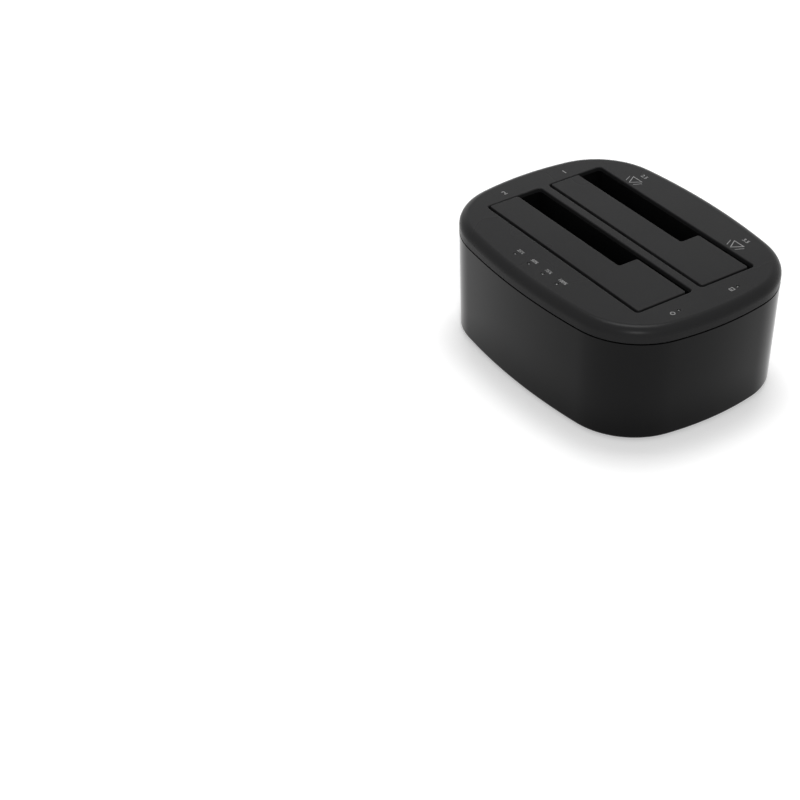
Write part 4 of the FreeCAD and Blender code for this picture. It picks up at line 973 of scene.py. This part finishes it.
def wire(name, path, radius, count=10):
    """Round wire along a path of points, closed at both ends."""
    side = (path[1] - path[0]).orthogonal().normalized()
    rings = []
    for index, point in enumerate(path):
        along = (path[min(index + 1, len(path) - 1)] - path[max(index - 1, 0)]).normalized()
        side = (side - along * side.dot(along)).normalized()
        up = along.cross(side)
        turns = [2 * math.pi * step / count for step in range(count)]
        rings.append([point + (side * math.cos(turn) + up * math.sin(turn)) * radius for turn in turns])
    piece = loft(name, rings)
    face_out(piece)
    return piece


for bay, front in bay_fronts.items():
    axis = Vector((COIL_START, front - HINGE_SETBACK, HINGE_HEIGHT))
    coil = []
    for step in range(COIL_TURNS * COIL_STEPS + 1):
        turn = 2 * math.pi * step / COIL_STEPS - math.pi / 2
        shift = COIL_LENGTH * step / (COIL_TURNS * COIL_STEPS)
        coil.append(axis + Vector((shift, COIL_RADIUS * math.cos(turn), COIL_RADIUS * math.sin(turn))))
    down, up = Vector((0, -0.12, -1)).normalized(), Vector((0, 1, 0.5)).normalized()
    lower_leg = [coil[0] + down * reach * MM for reach in LOWER_LEG]
    upper_leg = [coil[-1] + up * reach * MM for reach in UPPER_LEG]
    spring = wire(bay + "_spring_wire", lower_leg + coil + upper_leg, WIRE_RADIUS)
    smooth(spring, 50)
    spring.data.materials.append(spring_steel)
    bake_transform(spring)
    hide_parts(bay + "_flap_spring")


# Rear sockets and buttons: a nickel-plated square data socket with blue tongues, a round power
# inlet with a centre pin, and two polished push buttons that work switches on the board.

nickel = metal("nickel", (0.66, 0.65, 0.62), (0.5, 0.49, 0.46), 0.18, 0.36, 4200)
paint(nickel, "usb_socket_shell")
tongue_blue = matte_plastic("tongue_blue", (0.012, 0.07, 0.32), (0.016, 0.09, 0.38), 0.38, 0.4, 2600, 0.2)
paint(tongue_blue, "usb_socket_tongues")
paint(socket_plastic, "dc_socket_housing")
STEM_RADIUS = 1.3 * MM
FLANGE_FACE = 47.3 * MM
FLANGE_THICKNESS = 0.9 * MM
FLANGE_REACH = 0.9 * MM
BUTTON_EDGE = 0.5 * MM
DISH_DEPTH = 0.25 * MM
for name, radius in (("power_button", POWER_RADIUS), ("clone_button", CLONE_RADIUS)):
    low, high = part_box(name)
    flange = radius + FLANGE_REACH
    flange_back = FLANGE_FACE - FLANGE_THICKNESS
    profile = [(STEM_RADIUS - END_ROUND, low.y), (STEM_RADIUS, low.y + END_ROUND), (STEM_RADIUS, flange_back),
               (flange, flange_back), (flange, FLANGE_FACE), (radius, FLANGE_FACE)]
    profile += round_steps((radius - BUTTON_EDGE, high.y - BUTTON_EDGE), BUTTON_EDGE, 0, 90, 6)
    for share in (0.75, 0.5, 0.25, 0.05):
        profile.append(((radius - BUTTON_EDGE) * share, high.y - DISH_DEPTH * (1 - share ** 2)))
    button = turned(name + "_cap", ((low.x + high.x) / 2, PORT_HEIGHT), profile, "Y")
    smooth(button, 40)
    button.data.materials.append(gloss_black)
    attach(button, name)
    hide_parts(name)


# Lights: smoked clear pipes carry the light of small chips up to the lid, and the chips sit
# on two narrow green boards that are screwed under it.

smoked_clear, smoked_tree, smoked = new_finish("smoked_clear", specular=0.5)
smoked["Transmission Weight"].default_value = 0.35
smoked["IOR"].default_value = 1.49
smoked_marks = place_group(smoked_tree, handling, Smears_per_metre=300)
smoked_tone = blend_colours(smoked_tree, smoked_marks["Smear"], (0.01, 0.01, 0.011), (0.018, 0.018, 0.019))
smoked_tree.links.new(smoked_tone, smoked["Base Color"])
smoked_tree.links.new(span_values(smoked_tree, smoked_marks["Smear"], 0.1, 0.2), smoked["Roughness"])
PIPE_DOME = 0.3 * MM
for name, places in (("progress", progress_places), ("status", status_places)):
    low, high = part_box(name + "_light_pipes")
    profile = [(LIGHT_RADIUS, low.z), (LIGHT_RADIUS, high.z - PIPE_DOME)]
    profile += [(LIGHT_RADIUS * share, high.z - PIPE_DOME * share ** 2) for share in (0.9, 0.7, 0.45, 0.2)]
    pipes = join_pieces(name + "_pipes", [turned("pipe", place, profile, count=24) for place in places])
    smooth(pipes, 40)
    pipes.data.materials.append(smoked_clear)
    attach(pipes, "housing")
    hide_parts(name + "_light_pipes")
chip_resin = matte_plastic("chip_resin", (0.62, 0.6, 0.42), (0.72, 0.7, 0.52), 0.3, 0.5, 4000, 0.1)
paint(chip_resin, "progress_light_chips", "status_light_chips")


# Circuit boards: green lacquer over copper tracks. The main board lies on four bosses of the base
# plate and carries the sockets, the bridge chip and its parts.

def make_tracks():
    """Copper tracks that run square and turn at right angles, and rings of plated holes."""
    group, given, result = new_group("tracks", [("Tracks per metre", 260), ("Holes per metre", 190)],
                                     ["Track", "Hole"])
    flat = add_node(group, "ShaderNodeMapping", {"Vector": object_place(group), "Scale": (1, 1, 0)})

    def cells(scale, spread, **settings):
        """Distance from the middle of the nearest cell, or of the second one."""
        wires = {"Vector": flat.outputs[0], "Scale": scale, "Randomness": spread}
        return add_node(group, "ShaderNodeTexVoronoi", wires, **settings).outputs["Distance"]

    second = cells(given[0], 0.9, distance="CHEBYCHEV", feature="F2")
    first = cells(given[0], 0.9, distance="CHEBYCHEV")
    track = between(group, combine(group, "SUBTRACT", second, first), 0.14, 0.06)
    group.links.new(track, result[0])
    group.links.new(between(group, cells(given[1], 0.8), 0.1, 0.06), result[1])
    return group


tracks = make_tracks()
board_green, board_tree, board = new_finish("board_green", specular=0.5)
board_marks = place_group(board_tree, tracks)
board_lacquer = blend_colours(board_tree, board_marks["Track"], (0.006, 0.045, 0.018), (0.012, 0.085, 0.032))
board_tone = blend_colours(board_tree, board_marks["Hole"], board_lacquer, (0.4, 0.36, 0.22))
feed(board_tree, board, board_tone, span_values(board_tree, board_marks["Track"], 0.34, 0.26),
     raise_bump(board_tree, board_marks["Track"], 0.3, 0.00004))
paint(board_green, "main_board", "progress_light_board", "status_light_board")
chip_black = matte_plastic("chip_black", (0.013, 0.013, 0.014), (0.02, 0.02, 0.021), 0.5, 0.4, 5200, 0.2)
paint(chip_black, "bridge_chip", "memory_chip", "voltage_regulator")
ferrite = matte_plastic("ferrite", (0.03, 0.03, 0.032), (0.05, 0.05, 0.052), 0.6, 0.4, 1500, 0.6)
paint(ferrite, "power_coils")
can_metal = metal("can_metal", (0.72, 0.72, 0.74), (0.58, 0.58, 0.6), 0.2, 0.34, 3000)
paint(can_metal, "filter_capacitors", "timing_crystal")


# Ribbons: flat grey leads that join the light boards to the main board inside the housing. A fine
# even wave gives them their ribbed face.

ribbon_grey, ribbon_tree, ribbon = new_finish("ribbon_grey", specular=0.4)
ribbon_place = object_place(ribbon_tree)
ribbon_wave = {"Vector": ribbon_place, "Scale": 125, "Distortion": 0}
ribbon_wires = add_node(ribbon_tree, "ShaderNodeTexWave", ribbon_wave, bands_direction="X").outputs["Fac"]
ribbon_grain = place_group(ribbon_tree, moulded_grain, Pits_per_metre=1500)
ribbon_tone = blend_colours(ribbon_tree, ribbon_wires, (0.2, 0.21, 0.22), (0.32, 0.33, 0.34))
feed(ribbon_tree, ribbon, ribbon_tone, span_values(ribbon_tree, ribbon_grain["Drift"], 0.4, 0.5),
     raise_bump(ribbon_tree, ribbon_wires, 0.4, 0.0003))
paint(ribbon_grey, "progress_light_ribbon", "status_light_ribbon")


# Base plate, feet and screws: a black moulded tray with vent slots and four rubber feet in shallow
# recesses. Four zinc-plated screws run up through it into the lid's posts, and smaller ones hold
# the main board, the well frame and the light boards.

base_plastic = matte_plastic("base_plastic", (0.014, 0.014, 0.015), (0.019, 0.019, 0.02), 0.5, 0.3, 1500, 0.6)
paint(base_plastic, "base_plate")
foot_rubber = matte_plastic("foot_rubber", (0.02, 0.02, 0.02), (0.028, 0.028, 0.028), 0.8, 0.2, 1200, 0.5)
PAD_EDGE = 0.9 * MM
PAD_RIM = 2.2 * MM
HOLLOW_RIM = 2.6 * MM
HOLLOW_DEPTH = 0.3 * MM
foot_names = ("rear_right_foot", "rear_left_foot", "front_left_foot", "front_right_foot")
for name in foot_names:
    low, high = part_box(name)
    middle = (low + high) / 2
    radius = (high.x - low.x) / 2
    profile = [(radius - HOLLOW_RIM, low.z + HOLLOW_DEPTH), (radius - PAD_RIM, low.z)]
    for across, up in round_steps((0, 0), PAD_EDGE, 270, 360, 6):
        profile.append((radius - PAD_EDGE + across, low.z + PAD_EDGE + up))
    profile.append((radius, high.z))
    pad = turned(name + "_pad", middle, profile, count=64)
    smooth(pad, 40)
    pad.data.materials.append(foot_rubber)
    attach(pad, "housing")
    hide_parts(name)

zinc = metal("zinc", (0.55, 0.55, 0.57), (0.4, 0.4, 0.42), 0.25, 0.42, 2600)
THREAD_PITCH = 0.8 * MM
THREAD_DEPTH = 0.16 * MM
HEAD_SHAPE = ((0.55, 1), (0.82, 0.86), (0.96, 0.5), (1, 0.15), (0.97, 0))


def make_screw(head_radius, head_height, shank_radius, shank_length):
    """A pan head with a cross recess, its seat at zero, and a threaded shank that points up."""
    profile = [(head_radius * share, -head_height * drop) for share, drop in HEAD_SHAPE]
    profile.append((shank_radius - THREAD_DEPTH, 0))
    level = THREAD_PITCH / 2
    while level < shank_length - THREAD_PITCH / 2:
        profile += [(shank_radius, level), (shank_radius - THREAD_DEPTH, level + THREAD_PITCH / 2)]
        level += THREAD_PITCH
    profile.append((shank_radius * 0.7, shank_length))
    screw = turned("screw", (0, 0), profile, count=24)
    reach, half = head_radius * 0.5, head_radius * 0.11
    floor_level = -head_height * 0.45
    for across, along in ((reach, half), (half, reach)):
        carve(screw, bar((-across, -along, -head_height - over), (across, along, floor_level), half * 0.3))
    return screw


def screw_set(name, places, seat, screw, driven_down=False):
    """One piece with a screw at each place, its head on the face that it clamps."""
    turn = Matrix.Rotation(math.pi, 4, "X") if driven_down else Matrix.Identity(4)
    work = bmesh.new()
    for x, y in places:
        mesh = screw.data.copy()
        mesh.transform(Matrix.Translation((x, y, seat)) @ turn)
        work.from_mesh(mesh)
    mesh = bpy.data.meshes.new(name)
    work.to_mesh(mesh)
    work.free()
    bpy.data.objects.remove(screw)
    screws = place_object(name + "_set", mesh)
    smooth(screws, 40)
    mesh.materials.append(zinc)
    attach(screws, "housing")
    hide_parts(name)


CASE_SEAT = 2.9 * MM
BOARD_TOP = 8.6 * MM
WELL_SEAT = 50 * MM
LIGHT_BOARD_SEAT = 50.5 * MM
board_screw_places = [(side * 49 * MM, y * MM) for side in (-1, 1) for y in (-32, 33)]
screw_set("case_screws", post_places, CASE_SEAT, make_screw(2.6 * MM, 1.2 * MM, 1.1 * MM, 12 * MM))
screw_set("board_screws", board_screw_places, BOARD_TOP, make_screw(2.4 * MM, 1.4 * MM, 0.95 * MM, 4 * MM),
          driven_down=True)
screw_set("well_frame_screws", well_stud_places, WELL_SEAT, make_screw(2.2 * MM, 1.2 * MM, 1.1 * MM, 2 * MM))
screw_set("light_board_screws", light_stud_places, LIGHT_BOARD_SEAT,
          make_screw(1.7 * MM, 0.9 * MM, 0.9 * MM, 1 * MM))
